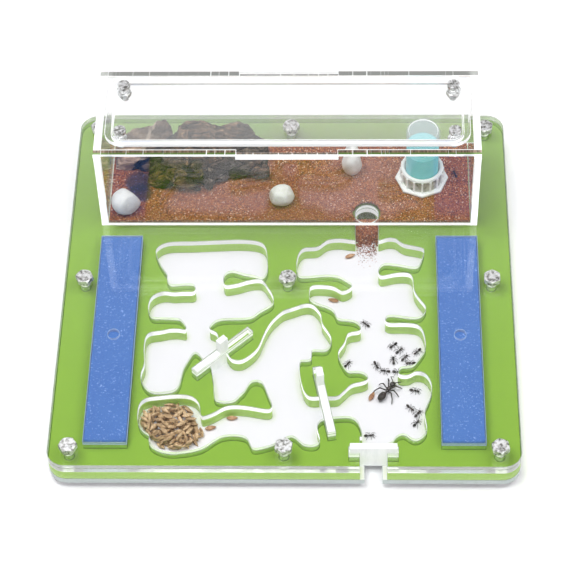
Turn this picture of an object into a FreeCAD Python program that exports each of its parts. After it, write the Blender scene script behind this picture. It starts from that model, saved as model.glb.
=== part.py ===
import FreeCAD, Part
import math
import os

Vector = FreeCAD.Vector

# ---------------------------------------------------------------------------
# Driving dimensions, millimetres. X runs to the right, Y to the back, Z up.
# The origin is under the middle of the nest, on the surface it stands on.
# ---------------------------------------------------------------------------

# Sheets of the nest, from the bottom up
BASE_T = 3.0
GREEN_T = 5.0
CLEAR_T = 3.0
COVER_T = 2.0
PLATE_CORNER_R = 8.0

# The nest across its width: galleries, sponges and outer rims
GALLERY_HALF_WIDTH = 63.0
SPONGE_WALL = 4.0
SPONGE_WIDTH = 18.0
SPONGE_LENGTH = 113.0
SPONGE_CENTRE_Y = -30.3
SPONGE_PLAY = 0.2
SIDE_RIM = 15.0

# The nest along its depth: galleries, foraging box and outer rims
GALLERY_FRONT_Y = -92.0
GALLERY_BACK_Y = 25.5
FRONT_RIM = 8.0
BOX_GAP = 6.2
BACK_RIM = 17.3

# Water holes above the sponges
WATER_HOLE_D = 5.0

# Hex bolts that clamp the nest, and the nuts that it stands on
BOLT_D = 4.0
BOLT_AF = 7.0
BOLT_HEAD_H = 2.8
BOLT_INSET = 9.0
BOLT_ROWS = 3
NUT_H = 3.2
FASTENER_PLAY = 0.1
HEAD_CHAMFER = 0.45

# Sliding gates: thin blades with a post at one end, in slots through the nest
BLADE_T = 3.0
BLADE_PLAY = 0.15
BLADE_FLOOR_GAP = 0.2
LEFT_SLOT_LENGTH = 32.7
CENTRE_SLOT_LENGTH = 35.0
SLOT_END_PLAY = 0.4
POST_LENGTH = 4.6
POST_H = 7.3
LEFT_GATE_CENTRE = (-27.8, -39.0)
LEFT_GATE_ANGLE = 43.9
LEFT_BLADE_LENGTH = 18.4
CENTRE_GATE_CENTRE = (16.8, -65.4)
CENTRE_GATE_ANGLE = 101.3
CENTRE_BLADE_LENGTH = 29.0

# Entrance at the front edge and its lifting gate
ENTRANCE_X = 37.8
ENTRANCE_WIDTH = 11.4
ENTRANCE_INNER_Y = -84.0
ENTRANCE_GATE_Y = -91.5
ENTRANCE_BLADE_LENGTH = 20.0
ENTRANCE_BLADE_RISE = 3.0
BASE_NOTCH_WIDTH = 7.4
BASE_NOTCH_DEPTH = 9.0

# Tunnel from the galleries up into the foraging box
TUNNEL_X = 35.45
TUNNEL_WIDTH = 10.5
TUNNEL_INNER_Y = 20.0
TUNNEL_WALL_GAP = 0.1

# Foraging box: finger-jointed walls and a top frame glued flush between them
BOX_WIDTH = 171.0
BOX_DEPTH = 51.0
BOX_HEIGHT = 48.0
WALL_T = 3.0
FRAME_T = 3.0
LOW_FINGER_H = 15.0
FRAME_TAB_WIDTH = 45.0

# Lift-off lid: a sheet with a smaller one screwed under it that drops into the opening
SCREW_INSET_X = 11.5
SCREW_INSET_Y = 11.7
SCREW_D = 3.0
SCREW_LENGTH = 10.0
SCREW_HEAD_D = 5.5
SCREW_HEAD_H = 2.0
SCREW_SLOT_WIDTH = 0.8
SCREW_SLOT_DEPTH = 0.9
LID_NUT_AF = 5.5
LID_NUT_H = 2.4
LID_T = 2.0
LID_OVERLAP = 3.0
LID_PLUG_T = 3.0
LID_PLUG_MARGIN = 3.6
LID_PLUG_PLAY = 0.4
OPENING_CORNER_R = 5.0

# Sand in the box and in the tunnel
SAND_T = 2.0
SAND_EDGE_GAP = 0.2
SAND_HOLE_RIM = 1.0
TUNNEL_SAND_HIGH = 6.5
TUNNEL_SAND_LOW = 0.6
TUNNEL_SAND_INNER_Y = 26.5

# Drinker: a fluted tray and an upright reservoir of water
TRAY_INSET_X = 24.7
TRAY_INSET_Y = 28.3
TRAY_R = 12.2
TRAY_FLUTE_DEPTH = 1.3
TRAY_FLUTES = 8
TRAY_RIM_H = 1.2
TRAY_COLLAR_R = 9.4
TRAY_H = 8.6
TRAY_FLOOR_T = 1.2
RESERVOIR_LIFT = 0.1
RESERVOIR_R = 7.8
RESERVOIR_WALL = 1.0
RESERVOIR_H = 27.6
RESERVOIR_PLAY = 0.3
LIQUID_H = 18.0
LIQUID_PLAY = 0.05

# ---------------------------------------------------------------------------
# Heights and places that follow from the driving dimensions
# ---------------------------------------------------------------------------

BASE_Z = NUT_H
FLOOR_Z = BASE_Z + BASE_T
CLEAR_Z = FLOOR_Z + GREEN_T
COVER_Z = CLEAR_Z + CLEAR_T
TOP_Z = COVER_Z + COVER_T
STACK_T = TOP_Z - BASE_Z
GALLERY_H = COVER_Z - FLOOR_Z

PLATE_WIDTH = 2 * (GALLERY_HALF_WIDTH + SPONGE_WALL + SPONGE_WIDTH + SIDE_RIM)
GALLERY_DEPTH = GALLERY_BACK_Y - GALLERY_FRONT_Y
PLATE_FRONT_Y = GALLERY_FRONT_Y - FRONT_RIM
BOX_FRONT_Y = GALLERY_BACK_Y + BOX_GAP
BOX_BACK_Y = BOX_FRONT_Y + BOX_DEPTH
PLATE_BACK_Y = BOX_BACK_Y + BACK_RIM
PLATE_DEPTH = PLATE_BACK_Y - PLATE_FRONT_Y
BOX_CENTRE_Y = (BOX_FRONT_Y + BOX_BACK_Y) / 2
BOX_TOP_Z = TOP_Z + BOX_HEIGHT
BOX_LEFT_X = -BOX_WIDTH / 2

SPONGE_X = GALLERY_HALF_WIDTH + SPONGE_WALL + SPONGE_WIDTH / 2
BOLT_HOLE_D = BOLT_D + 2 * FASTENER_PLAY
SLOT_WIDTH = BLADE_T + 2 * BLADE_PLAY
ENTRANCE_SLOT_LENGTH = ENTRANCE_BLADE_LENGTH + 2 * SLOT_END_PLAY
PASSAGE_HOLE_Y = BOX_FRONT_Y + WALL_T + TUNNEL_WALL_GAP + TUNNEL_WIDTH / 2

SCREW_PITCH_X = BOX_WIDTH - 2 * SCREW_INSET_X
SCREW_PITCH_Y = BOX_DEPTH - 2 * SCREW_INSET_Y
LID_PLUG_WIDTH = SCREW_PITCH_X + 2 * LID_PLUG_MARGIN
LID_PLUG_DEPTH = SCREW_PITCH_Y + 2 * LID_PLUG_MARGIN
OPENING_WIDTH = LID_PLUG_WIDTH + 2 * LID_PLUG_PLAY
OPENING_DEPTH = LID_PLUG_DEPTH + 2 * LID_PLUG_PLAY
LID_WIDTH = OPENING_WIDTH + 2 * LID_OVERLAP
LID_DEPTH = OPENING_DEPTH + 2 * LID_OVERLAP
LID_CORNER_R = OPENING_CORNER_R + LID_OVERLAP
LID_TOP_Z = BOX_TOP_Z + LID_T
LID_PLUG_Z = BOX_TOP_Z - LID_PLUG_T

SAND_Z = TOP_Z + SAND_T
TRAY_X = BOX_WIDTH / 2 - TRAY_INSET_X
TRAY_Y = BOX_FRONT_Y + TRAY_INSET_Y
RESERVOIR_Z = SAND_Z + TRAY_FLOOR_T + RESERVOIR_LIFT

# ---------------------------------------------------------------------------
# Wall line of the galleries, as points of one closed smooth curve. Each list
# is one stretch of wall, and they follow one another round the nest.
# ---------------------------------------------------------------------------

LEFT_TOP_CHAMBER = [
    (-59.5, 19.5), (-55.0, 22.5), (-46.0, 23.0), (-26.5, 24.0), (-15.5, 23.5),
    (-11.5, 21.5), (-10.0, 18.0), (-9.5, 12.5), (-9.5, 6.0), (-11.5, 2.5),
]
LEFT_TOP_FINGER = [
    (-15.0, 3.5), (-19.5, 4.5), (-23.5, 6.0), (-26.5, 6.0), (-28.5, 4.0),
    (-29.0, 1.0), (-28.0, -2.0), (-25.5, -2.0), (-21.5, -1.0), (-17.5, 0.5),
]
LEFT_MIDDLE_CHAMBER = [
    (-12.5, 1.0), (-10.5, -0.5), (-8.5, -4.0), (-6.5, -8.5), (-6.5, -12.0),
    (-9.0, -14.5), (-12.5, -17.0), (-14.5, -19.0), (-17.5, -20.3), (-25.0, -20.6),
    (-30.0, -21.3), (-32.5, -23.0), (-34.0, -25.5), (-33.5, -27.2),
    (-31.0, -28.7), (-29.8, -32.5), (-29.2, -35.0),
]
BIG_CHAMBER_ARCH = [
    (-25.8, -40.0), (-23.8, -43.0), (-20.5, -44.0), (-16.8, -42.2), (-12.5, -37.2),
    (-10.3, -31.0), (-7.0, -23.0), (-4.0, -19.0), (-1.3, -16.5), (3.5, -14.5),
    (7.0, -13.0), (10.5, -13.0), (13.0, -15.2), (15.0, -19.2), (15.5, -23.2),
    (17.5, -27.0), (19.5, -31.5), (19.3, -34.8), (17.3, -37.7),
]
BIG_CHAMBER_STEPS = [
    (12.0, -37.9), (11.0, -39.0), (10.5, -43.0), (6.7, -43.5), (6.0, -44.6),
    (6.0, -50.0), (7.0, -56.5), (8.5, -61.0), (10.7, -63.2), (14.5, -63.3),
]
RIGHT_LOW_PASSAGE = [
    (18.0, -63.2), (22.8, -62.8), (24.7, -60.8), (26.0, -59.5), (28.2, -57.0),
    (32.5, -55.5), (35.3, -54.0), (35.5, -52.0), (32.0, -49.5), (27.5, -49.4),
    (25.0, -46.5), (23.0, -41.5), (23.2, -38.2), (25.8, -33.2), (27.3, -29.0),
]
RIGHT_INNER_FINGER = [
    (32.0, -27.5), (32.5, -25.0), (29.8, -22.0), (23.7, -20.9), (22.0, -19.8),
    (21.0, -17.0), (18.0, -14.2), (13.0, -12.0), (10.0, -9.3), (9.8, -5.2),
    (10.7, -2.7), (17.0, -2.3), (21.0, -3.4), (24.0, -5.4), (26.2, -5.0),
    (28.7, -2.8), (28.2, -0.8), (25.3, 1.6), (22.3, 3.4), (18.0, 4.0),
]
RIGHT_TOP_CHAMBER_LEFT = [
    (11.5, 3.5), (6.2, 3.1), (4.7, 4.0), (3.8, 8.7), (4.0, 13.2), (5.3, 17.5),
    (7.7, 19.5), (11.5, 19.7), (14.4, 21.0), (17.0, 23.5), (20.0, 24.6),
    (24.5, 24.7), (30.0, 23.8),
]
RIGHT_TOP_CHAMBER_RIGHT = [
    (41.0, 23.8), (44.0, 25.0), (46.5, 25.3), (49.0, 24.4), (51.3, 22.2),
    (58.0, 20.2), (61.0, 18.7), (60.6, 15.0), (59.2, 10.5), (57.4, 8.6),
    (50.0, 9.9), (45.0, 10.6), (42.8, 10.3), (41.0, 8.3), (40.5, 5.4),
    (41.6, 3.4), (46.3, 4.3), (50.0, 5.0), (54.7, 4.2),
]
RIGHT_MIDDLE_CHAMBER = [
    (56.0, -0.6), (56.4, -5.0), (58.4, -9.3), (61.0, -13.5), (61.2, -15.7),
    (59.9, -18.3), (57.6, -19.8), (52.0, -19.5), (44.8, -18.9), (43.4, -20.6),
    (43.5, -22.3), (45.0, -23.3), (50.5, -23.4), (57.0, -24.2), (59.3, -26.5),
    (60.6, -32.0), (60.5, -37.5), (59.1, -40.5), (56.8, -44.2), (54.4, -46.4),
    (50.2, -47.1), (48.7, -49.0), (49.2, -51.3),
]
RIGHT_LOW_CHAMBER = [
    (54.0, -51.2), (56.0, -49.9), (59.4, -50.3), (61.8, -53.0), (62.9, -56.8),
    (62.6, -61.6), (61.2, -66.0), (59.8, -70.2), (59.9, -74.5), (60.4, -79.6),
    (59.1, -82.8), (56.2, -84.8), (53.9, -84.3), (51.8, -82.6), (49.6, -82.2),
    (47.0, -84.0), (44.7, -86.7),
]
CENTRE_LOW_PASSAGE = [
    (32.8, -87.0), (33.0, -83.5), (32.6, -80.0), (31.5, -76.5), (29.0, -73.8),
    (25.8, -73.2), (21.0, -73.6), (16.5, -74.5), (14.6, -76.1), (13.9, -78.4),
    (14.4, -82.0), (15.0, -85.6), (13.3, -87.8), (9.2, -87.8), (7.2, -86.6),
    (4.4, -83.7), (2.0, -83.5),
]
FRONT_WALL = [
    (-3.4, -87.0), (-7.6, -88.8), (-12.2, -89.8), (-13.7, -88.7), (-15.2, -85.2),
    (-18.2, -83.2), (-25.0, -83.1), (-28.6, -84.8), (-33.5, -88.8), (-39.0, -91.0),
    (-46.5, -92.0), (-50.7, -91.5), (-55.0, -89.5), (-57.1, -86.4), (-57.2, -83.3),
]
STORE_CHAMBER = [
    (-59.8, -81.0), (-62.2, -77.0), (-62.8, -71.7), (-62.3, -67.4), (-60.0, -64.5),
    (-55.2, -63.4), (-49.0, -62.6), (-42.2, -62.7), (-38.4, -64.6), (-36.6, -67.8),
    (-36.2, -71.0), (-35.4, -73.5), (-33.6, -73.4), (-30.0, -71.6), (-27.0, -69.5),
    (-23.4, -68.1), (-14.0, -68.8), (-6.8, -69.9),
]
CENTRE_PENINSULA = [
    (-5.5, -68.7), (-5.8, -66.0), (-7.4, -61.8), (-9.3, -56.5), (-11.2, -54.5),
    (-14.1, -54.5), (-15.9, -56.4), (-18.0, -60.6), (-19.3, -62.0), (-22.3, -65.2),
    (-28.2, -65.2), (-30.1, -63.9), (-30.9, -56.5), (-31.8, -51.0), (-32.6, -47.2),
]
LEFT_LOW_CHAMBER = [
    (-36.0, -43.0), (-37.6, -40.8), (-39.5, -39.2), (-40.8, -40.0), (-42.5, -43.4),
    (-44.2, -47.3), (-45.2, -52.6), (-45.9, -56.5), (-47.4, -59.2), (-50.1, -60.4),
    (-55.3, -60.9), (-58.0, -60.3), (-60.4, -58.2), (-62.3, -54.5), (-62.6, -50.5),
    (-61.6, -46.2), (-62.0, -40.2), (-62.2, -34.5), (-61.6, -30.7), (-59.9, -28.8),
    (-56.0, -28.0), (-52.0, -27.0), (-47.0, -26.9), (-44.7, -27.2),
]
LEFT_SIDE_CHAMBER = [
    (-44.3, -25.4), (-46.3, -22.0), (-48.3, -20.7), (-58.2, -20.2), (-60.3, -19.3),
    (-61.5, -16.1), (-61.5, -12.0), (-60.3, -8.7), (-57.4, -6.5), (-54.0, -5.9),
    (-51.0, -6.4), (-46.7, -6.1), (-41.6, -5.5), (-41.3, -2.8), (-42.8, -1.3),
    (-50.0, -1.5), (-52.4, -1.4), (-54.0, 0.7), (-54.2, 4.0), (-56.0, 7.3),
    (-58.4, 11.8), (-59.7, 15.6),
]
GALLERY_WALL = (
    LEFT_TOP_CHAMBER + LEFT_TOP_FINGER + LEFT_MIDDLE_CHAMBER + BIG_CHAMBER_ARCH
    + BIG_CHAMBER_STEPS + RIGHT_LOW_PASSAGE + RIGHT_INNER_FINGER
    + RIGHT_TOP_CHAMBER_LEFT + RIGHT_TOP_CHAMBER_RIGHT + RIGHT_MIDDLE_CHAMBER
    + RIGHT_LOW_CHAMBER + CENTRE_LOW_PASSAGE + FRONT_WALL + STORE_CHAMBER
    + CENTRE_PENINSULA + LEFT_LOW_CHAMBER + LEFT_SIDE_CHAMBER
)

# Pebbles: (x from the box's left end, y from its front, length, width, height, turn)
PEBBLES = {
    "pebble_left": (10.9, 10.3, 14.0, 13.0, 11.0, 10.0),
    "pebble_centre": (82.1, 14.4, 12.0, 10.5, 9.5, 20.0),
    "pebble_back": (114.1, 33.0, 10.0, 9.5, 14.5, 0.0),
}
PEBBLE_SUNK_SHARE = 0.12

# Driftwood, as sections across X: (x from the box's left end, how far its front and its
# back lie in front of the box's back, height)
LARGE_DRIFTWOOD = [
    (20.0, 22.5, 16.5, 10.0), (25.5, 23.5, 15.5, 13.0), (30.3, 24.7, 15.5, 15.0),
    (33.0, 26.0, 4.5, 17.5), (38.0, 29.2, 4.0, 21.5), (43.5, 28.2, 4.0, 22.2),
    (48.8, 31.7, 4.0, 21.0), (52.8, 27.2, 4.5, 18.0), (57.5, 24.2, 4.5, 19.3),
    (61.0, 24.2, 4.5, 19.2), (66.0, 23.9, 5.0, 16.8), (70.0, 23.7, 5.5, 14.0),
    (74.0, 23.0, 7.0, 9.5), (76.0, 21.0, 9.0, 4.0),
]
SMALL_DRIFTWOOD = [
    (4.0, 17.0, 9.0, 7.0), (8.5, 18.5, 6.5, 11.5), (13.0, 18.0, 5.0, 14.5),
    (19.0, 14.5, 4.0, 15.0), (23.5, 14.2, 3.8, 16.0), (26.5, 14.2, 3.8, 19.5),
    (28.8, 13.6, 4.2, 19.5), (30.3, 12.3, 4.7, 17.0), (31.3, 10.0, 6.5, 12.0),
]
DRIFTWOOD_SECTION_SHARES = [
    (0.0, 0.0), (0.03, 0.28), (0.22, 0.52), (0.5, 0.8), (0.74, 1.0), (0.92, 0.9),
    (1.0, 0.5), (0.98, 0.0),
]

# Seeds and ants on the nest floor: (x, y, turn in degrees)
SEED_LENGTH = 5.4
SEED_R = 1.0
SEED_HEAP = (-49.0, -75.0, 17.0, 14.5, 5.4)
SEED_HEAP_OUTLINE = [
    (-61.6, -67.8), (-59.3, -65.2), (-55.2, -64.2), (-48.8, -63.6), (-42.3, -63.8),
    (-40.0, -67.0), (-38.9, -71.0), (-36.6, -74.5), (-35.0, -77.5), (-34.8, -81.5),
    (-37.0, -85.3), (-44.3, -86.4), (-51.5, -85.4), (-56.0, -81.8), (-59.4, -78.6),
    (-61.2, -75.0), (-62.0, -71.3),
]
LOOSE_SEEDS = [
    (-31.8, -74.7, 10.0), (-22.7, -69.5, 0.0), (20.2, -5.2, 165.0),
    (37.2, -57.9, 60.0), (27.9, 20.6, 20.0),
]
QUEEN = (43.9, -55.6, 54.0)
QUEEN_LENGTH = 12.7
WORKERS = [
    (34.9, -18.4, -45.0), (46.8, -30.2, 40.0), (49.5, -33.0, 45.0),
    (51.8, -36.9, 52.0), (46.9, -38.4, -87.0), (54.4, -39.8, 0.0),
    (57.3, -33.6, 46.0), (39.3, -40.9, -65.0), (43.2, -44.1, -10.0),
    (48.4, -44.5, -2.0), (55.8, -54.6, -12.0), (53.9, -63.8, -44.0),
    (57.0, -66.8, 54.0), (56.3, -71.7, 53.0), (26.6, -40.6, 51.0),
    (36.1, -78.2, 7.0),
]
WORKER_LENGTH = 4.6


# ---------------------------------------------------------------------------
# Shapes
# ---------------------------------------------------------------------------

def block(x0, x1, y0, y1, z0, z1):
    """A box between two corners."""
    return Part.makeBox(x1 - x0, y1 - y0, z1 - z0, Vector(x0, y0, z0))


def cylinder(x, y, z, radius, height):
    """An upright cylinder standing on (x, y, z)."""
    return Part.makeCylinder(radius, height, Vector(x, y, z))


def rectangle_face(x, y, length, width, turn=0.0):
    """A flat rectangle about (x, y), turned about its own centre."""
    corner = Vector(x - length / 2, y - width / 2, 0)
    face = Part.makePlane(length, width, corner)
    face.rotate(Vector(x, y, 0), Vector(0, 0, 1), turn)
    return face


def circle_face(x, y, radius):
    """A flat disc about (x, y)."""
    return Part.Face(Part.Wire(Part.makeCircle(radius, Vector(x, y, 0))))


def rounded_slab(x0, x1, y0, y1, z0, height, radius):
    """A slab with rounded upright corners."""
    slab = block(x0, x1, y0, y1, z0, z0 + height)
    upright = [e for e in slab.Edges if abs(e.tangentAt(e.FirstParameter).z) > 0.9]
    return slab.makeFillet(radius, upright)


def raised(face, z0, height):
    """A flat face lifted to z0 and extruded upward."""
    lifted = face.copy()
    lifted.translate(Vector(0, 0, z0))
    return lifted.extrude(Vector(0, 0, height))


def smooth_face(points):
    """The face inside one closed smooth curve through the points."""
    vectors = [Vector(x, y, 0) for x, y in points]
    spans = [(b - a).Length for a, b in zip(vectors, vectors[1:] + vectors[:1])]
    parameters = [0.0]
    for span in spans:
        parameters.append(parameters[-1] + math.sqrt(span))
    curve = Part.BSplineCurve()
    curve.interpolate(Points=vectors, PeriodicFlag=True, Parameters=parameters)
    return Part.Face(Part.Wire(curve.toShape()))


def hex_prism(x, y, z, across_flats, height, turn=0.0):
    """An upright hexagonal prism."""
    corner_r = across_flats / math.sqrt(3)
    corners = []
    for i in range(7):
        angle = math.radians(turn + 60 * i)
        corners.append(Vector(x + corner_r * math.cos(angle), y + corner_r * math.sin(angle), z))
    return Part.Face(Part.makePolygon(corners)).extrude(Vector(0, 0, height))


def chamfer_blank(x, y, z, across_flats, height, bottom, top):
    """The turned blank that gives a hexagon its conical corner chamfers."""
    corner_r = across_flats / math.sqrt(3) + 0.01
    face_r = across_flats / 2 - 0.1
    profile = [Vector(0, 0, 0)]
    if bottom:
        profile.append(Vector(face_r, 0, 0))
    profile.append(Vector(corner_r, 0, bottom))
    profile.append(Vector(corner_r, 0, height - top))
    profile.append(Vector(face_r, 0, height))
    profile.append(Vector(0, 0, height))
    profile.append(Vector(0, 0, 0))
    blank = Part.Face(Part.makePolygon(profile)).revolve(Vector(0, 0, 0), Vector(0, 0, 1), 360)
    blank.translate(Vector(x, y, z))
    return blank


def top_edges(shape):
    """The edges that lie in the highest plane of a shape."""
    top = shape.BoundBox.ZMax
    return [edge for edge in shape.Edges if edge.BoundBox.ZMin > top - 0.01]


def ellipsoid(x, y, z, length, radius, turn=0.0):
    """A body of revolution about a level axis, pointed the way that turn says."""
    half = length / 2
    arc = Part.ArcOfEllipse(Part.Ellipse(Vector(0, 0, 0), half, radius), 0, math.pi).toShape()
    axis = Part.makeLine(Vector(-half, 0, 0), Vector(half, 0, 0))
    body = Part.Face(Part.Wire([arc, axis])).revolve(Vector(0, 0, 0), Vector(1, 0, 0), 360)
    body.rotate(Vector(0, 0, 0), Vector(0, 0, 1), turn)
    body.translate(Vector(x, y, z))
    return body


def scaled_ball(x, y, z, half_x, half_y, half_z, turn=0.0):
    """A sphere stretched to three half sizes."""
    matrix = FreeCAD.Matrix()
    matrix.scale(half_x, half_y, half_z)
    ball = Part.makeSphere(1.0).transformGeometry(matrix)
    ball.rotate(Vector(0, 0, 0), Vector(0, 0, 1), turn)
    ball.translate(Vector(x, y, z))
    return ball


def along(centre, angle, distance):
    """The point at a distance from centre, in the direction of angle."""
    radians = math.radians(angle)
    return centre[0] + distance * math.cos(radians), centre[1] + distance * math.sin(radians)


# ---------------------------------------------------------------------------
# Nest sheets
# ---------------------------------------------------------------------------

def bolt_places():
    """Centres of the bolts, on a square grid round and in the middle of the nest."""
    places = []
    for row in range(BOLT_ROWS):
        for column in range(BOLT_ROWS):
            share_x = column / (BOLT_ROWS - 1)
            share_y = row / (BOLT_ROWS - 1)
            x = -PLATE_WIDTH / 2 + BOLT_INSET + share_x * (PLATE_WIDTH - 2 * BOLT_INSET)
            y = PLATE_FRONT_Y + BOLT_INSET + share_y * (PLATE_DEPTH - 2 * BOLT_INSET)
            places.append((x, y))
    return places


def sheet(z0, thickness, cuts):
    """One sheet of the nest, with its bolt holes and the given flat faces cut out."""
    half = PLATE_WIDTH / 2
    slab = rounded_slab(-half, half, PLATE_FRONT_Y, PLATE_BACK_Y, z0, thickness, PLATE_CORNER_R)
    holes = [circle_face(x, y, BOLT_HOLE_D / 2) for x, y in bolt_places()]
    tools = [raised(face, z0 - 1, thickness + 2) for face in holes + cuts]
    return slab.cut(tools)


def gate_slots():
    """The three slots that the gates stand in."""
    return [
        rectangle_face(*LEFT_GATE_CENTRE, LEFT_SLOT_LENGTH, SLOT_WIDTH, LEFT_GATE_ANGLE),
        rectangle_face(*CENTRE_GATE_CENTRE, CENTRE_SLOT_LENGTH, SLOT_WIDTH, CENTRE_GATE_ANGLE),
        rectangle_face(ENTRANCE_X, ENTRANCE_GATE_Y, ENTRANCE_SLOT_LENGTH, SLOT_WIDTH),
    ]


def entrance_way():
    """The straight passage from the galleries to the front edge."""
    front = PLATE_FRONT_Y - 1
    length = ENTRANCE_INNER_Y - front
    return rectangle_face(ENTRANCE_X, front + length / 2, ENTRANCE_WIDTH, length)


def gallery_cuts():
    """Everything that is cut out of both gallery sheets."""
    tunnel_length = PASSAGE_HOLE_Y - TUNNEL_INNER_Y
    tunnel_y = TUNNEL_INNER_Y + tunnel_length / 2
    sponge_length = SPONGE_LENGTH + 2 * SPONGE_PLAY
    sponge_width = SPONGE_WIDTH + 2 * SPONGE_PLAY
    cuts = [smooth_face(GALLERY_WALL), entrance_way()]
    cuts.append(rectangle_face(TUNNEL_X, tunnel_y, TUNNEL_WIDTH, tunnel_length))
    cuts.append(circle_face(TUNNEL_X, PASSAGE_HOLE_Y, TUNNEL_WIDTH / 2))
    for side in (-1, 1):
        cuts.append(rectangle_face(side * SPONGE_X, SPONGE_CENTRE_Y, sponge_width, sponge_length))
    return cuts + gate_slots()


def base_plate():
    """The bottom sheet, notched under the entrance."""
    depth = BASE_NOTCH_DEPTH + 1
    y = PLATE_FRONT_Y + BASE_NOTCH_DEPTH - depth / 2
    notch = rectangle_face(ENTRANCE_X, y, BASE_NOTCH_WIDTH, depth)
    return sheet(BASE_Z, BASE_T, [notch])


def cover_plate():
    """The top sheet, with the water holes, passage hole, gate slots and entrance notch."""
    notch_back = ENTRANCE_GATE_Y
    notch_front = PLATE_FRONT_Y - 1
    length = notch_back - notch_front
    cuts = [rectangle_face(ENTRANCE_X, notch_front + length / 2, ENTRANCE_WIDTH, length)]
    cuts.append(circle_face(TUNNEL_X, PASSAGE_HOLE_Y, TUNNEL_WIDTH / 2))
    for side in (-1, 1):
        cuts.append(circle_face(side * SPONGE_X, SPONGE_CENTRE_Y, WATER_HOLE_D / 2))
    return sheet(COVER_Z, COVER_T, cuts + gate_slots())


def sponge(side):
    """A strip of sponge in its pocket, a little under the cover."""
    x = side * SPONGE_X
    half = SPONGE_WIDTH / 2
    y0 = SPONGE_CENTRE_Y - SPONGE_LENGTH / 2
    return block(x - half, x + half, y0, y0 + SPONGE_LENGTH, FLOOR_Z, COVER_Z - SPONGE_PLAY)


# ---------------------------------------------------------------------------
# Fasteners
# ---------------------------------------------------------------------------

def hex_bolt(x, y, turn):
    """A hex bolt through the whole nest, its end just inside the nut."""
    head = hex_prism(x, y, TOP_Z, BOLT_AF, BOLT_HEAD_H, turn)
    head = head.common(chamfer_blank(x, y, TOP_Z, BOLT_AF, BOLT_HEAD_H, 0, HEAD_CHAMFER))
    length = STACK_T + NUT_H - 0.2
    return head.fuse(cylinder(x, y, TOP_Z - length, BOLT_D / 2, length)).removeSplitter()


def hex_nut(x, y, z, across_flats, height, bore, turn):
    """A hex nut with chamfered corners on both faces."""
    nut = hex_prism(x, y, z, across_flats, height, turn)
    nut = nut.common(chamfer_blank(x, y, z, across_flats, height, HEAD_CHAMFER, HEAD_CHAMFER))
    return nut.cut(cylinder(x, y, z - 1, bore / 2, height + 2))


def nest_bolts():
    """All nest bolts, each turned by its own amount as tightening leaves it."""
    return [hex_bolt(x, y, 17 * i + 5) for i, (x, y) in enumerate(bolt_places())]


def nest_nuts():
    """The nuts under the base, which are the feet of the nest."""
    bore = BOLT_D + 2 * FASTENER_PLAY
    places = enumerate(bolt_places())
    return [hex_nut(x, y, 0, BOLT_AF, NUT_H, bore, 23 * i) for i, (x, y) in places]


def screw_places():
    """Centres of the four lid screws."""
    return [
        (sx * SCREW_PITCH_X / 2, BOX_CENTRE_Y + sy * SCREW_PITCH_Y / 2)
        for sy in (-1, 1)
        for sx in (-1, 1)
    ]


def lid_screw(x, y, turn):
    """A slotted cheese-head screw."""
    head = cylinder(x, y, LID_TOP_Z, SCREW_HEAD_D / 2, SCREW_HEAD_H)
    head = head.makeChamfer(0.3, top_edges(head))
    slot_z = LID_TOP_Z + SCREW_HEAD_H - SCREW_SLOT_DEPTH
    slot = rectangle_face(x, y, SCREW_HEAD_D + 2, SCREW_SLOT_WIDTH, turn)
    head = head.cut(raised(slot, slot_z, SCREW_HEAD_H))
    shank = cylinder(x, y, LID_TOP_Z - SCREW_LENGTH, SCREW_D / 2, SCREW_LENGTH)
    return head.fuse(shank).removeSplitter()


def lid_screws():
    """The four screws, their slots at different angles."""
    return [lid_screw(x, y, turn) for (x, y), turn in zip(screw_places(), (20, 105, 15, 112))]


def lid_nuts():
    """The nuts that hold the lid's two sheets together."""
    bore = SCREW_D + 2 * FASTENER_PLAY
    z = LID_PLUG_Z - LID_NUT_H
    return [hex_nut(x, y, z, LID_NUT_AF, LID_NUT_H, bore, 0) for x, y in screw_places()]


# ---------------------------------------------------------------------------
# Gates
# ---------------------------------------------------------------------------

def sliding_gate(centre, angle, slot_length, blade_length):
    """A blade at the near end of its slot, with a post standing on its far end."""
    start = -slot_length / 2 + SLOT_END_PLAY
    end = start + blade_length
    z0 = FLOOR_Z + BLADE_FLOOR_GAP
    half = BLADE_T / 2
    blade = block(start, end, -half, half, z0, TOP_Z)
    post = block(end - POST_LENGTH, end, -half, half, TOP_Z, TOP_Z + POST_H)
    gate = blade.fuse(post).removeSplitter()
    gate.rotate(Vector(0, 0, 0), Vector(0, 0, 1), angle)
    gate.translate(Vector(centre[0], centre[1], 0))
    return gate


def entrance_gate():
    """The plain blade that closes the entrance and lifts out."""
    half = ENTRANCE_BLADE_LENGTH / 2
    y0 = ENTRANCE_GATE_Y - BLADE_T / 2
    z0 = FLOOR_Z + BLADE_FLOOR_GAP
    z1 = TOP_Z + ENTRANCE_BLADE_RISE
    return block(ENTRANCE_X - half, ENTRANCE_X + half, y0, y0 + BLADE_T, z0, z1)


# ---------------------------------------------------------------------------
# Foraging box
# ---------------------------------------------------------------------------

def long_wall(y0):
    """A front or back wall: full width at the bottom and top, notched for the side fingers."""
    half = BOX_WIDTH / 2
    wall = block(-half, half, y0, y0 + WALL_T, TOP_Z, BOX_TOP_Z)
    z0 = TOP_Z + LOW_FINGER_H
    z1 = BOX_TOP_Z - FRAME_T
    left = block(-half - 1, -half + WALL_T, y0 - 1, y0 + WALL_T + 1, z0, z1)
    right = block(half - WALL_T, half + 1, y0 - 1, y0 + WALL_T + 1, z0, z1)
    tab_half = FRAME_TAB_WIDTH / 2
    tab = block(-tab_half, tab_half, y0 - 1, y0 + WALL_T + 1, z1, BOX_TOP_Z + 1)
    return wall.cut([left, right, tab])


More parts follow.
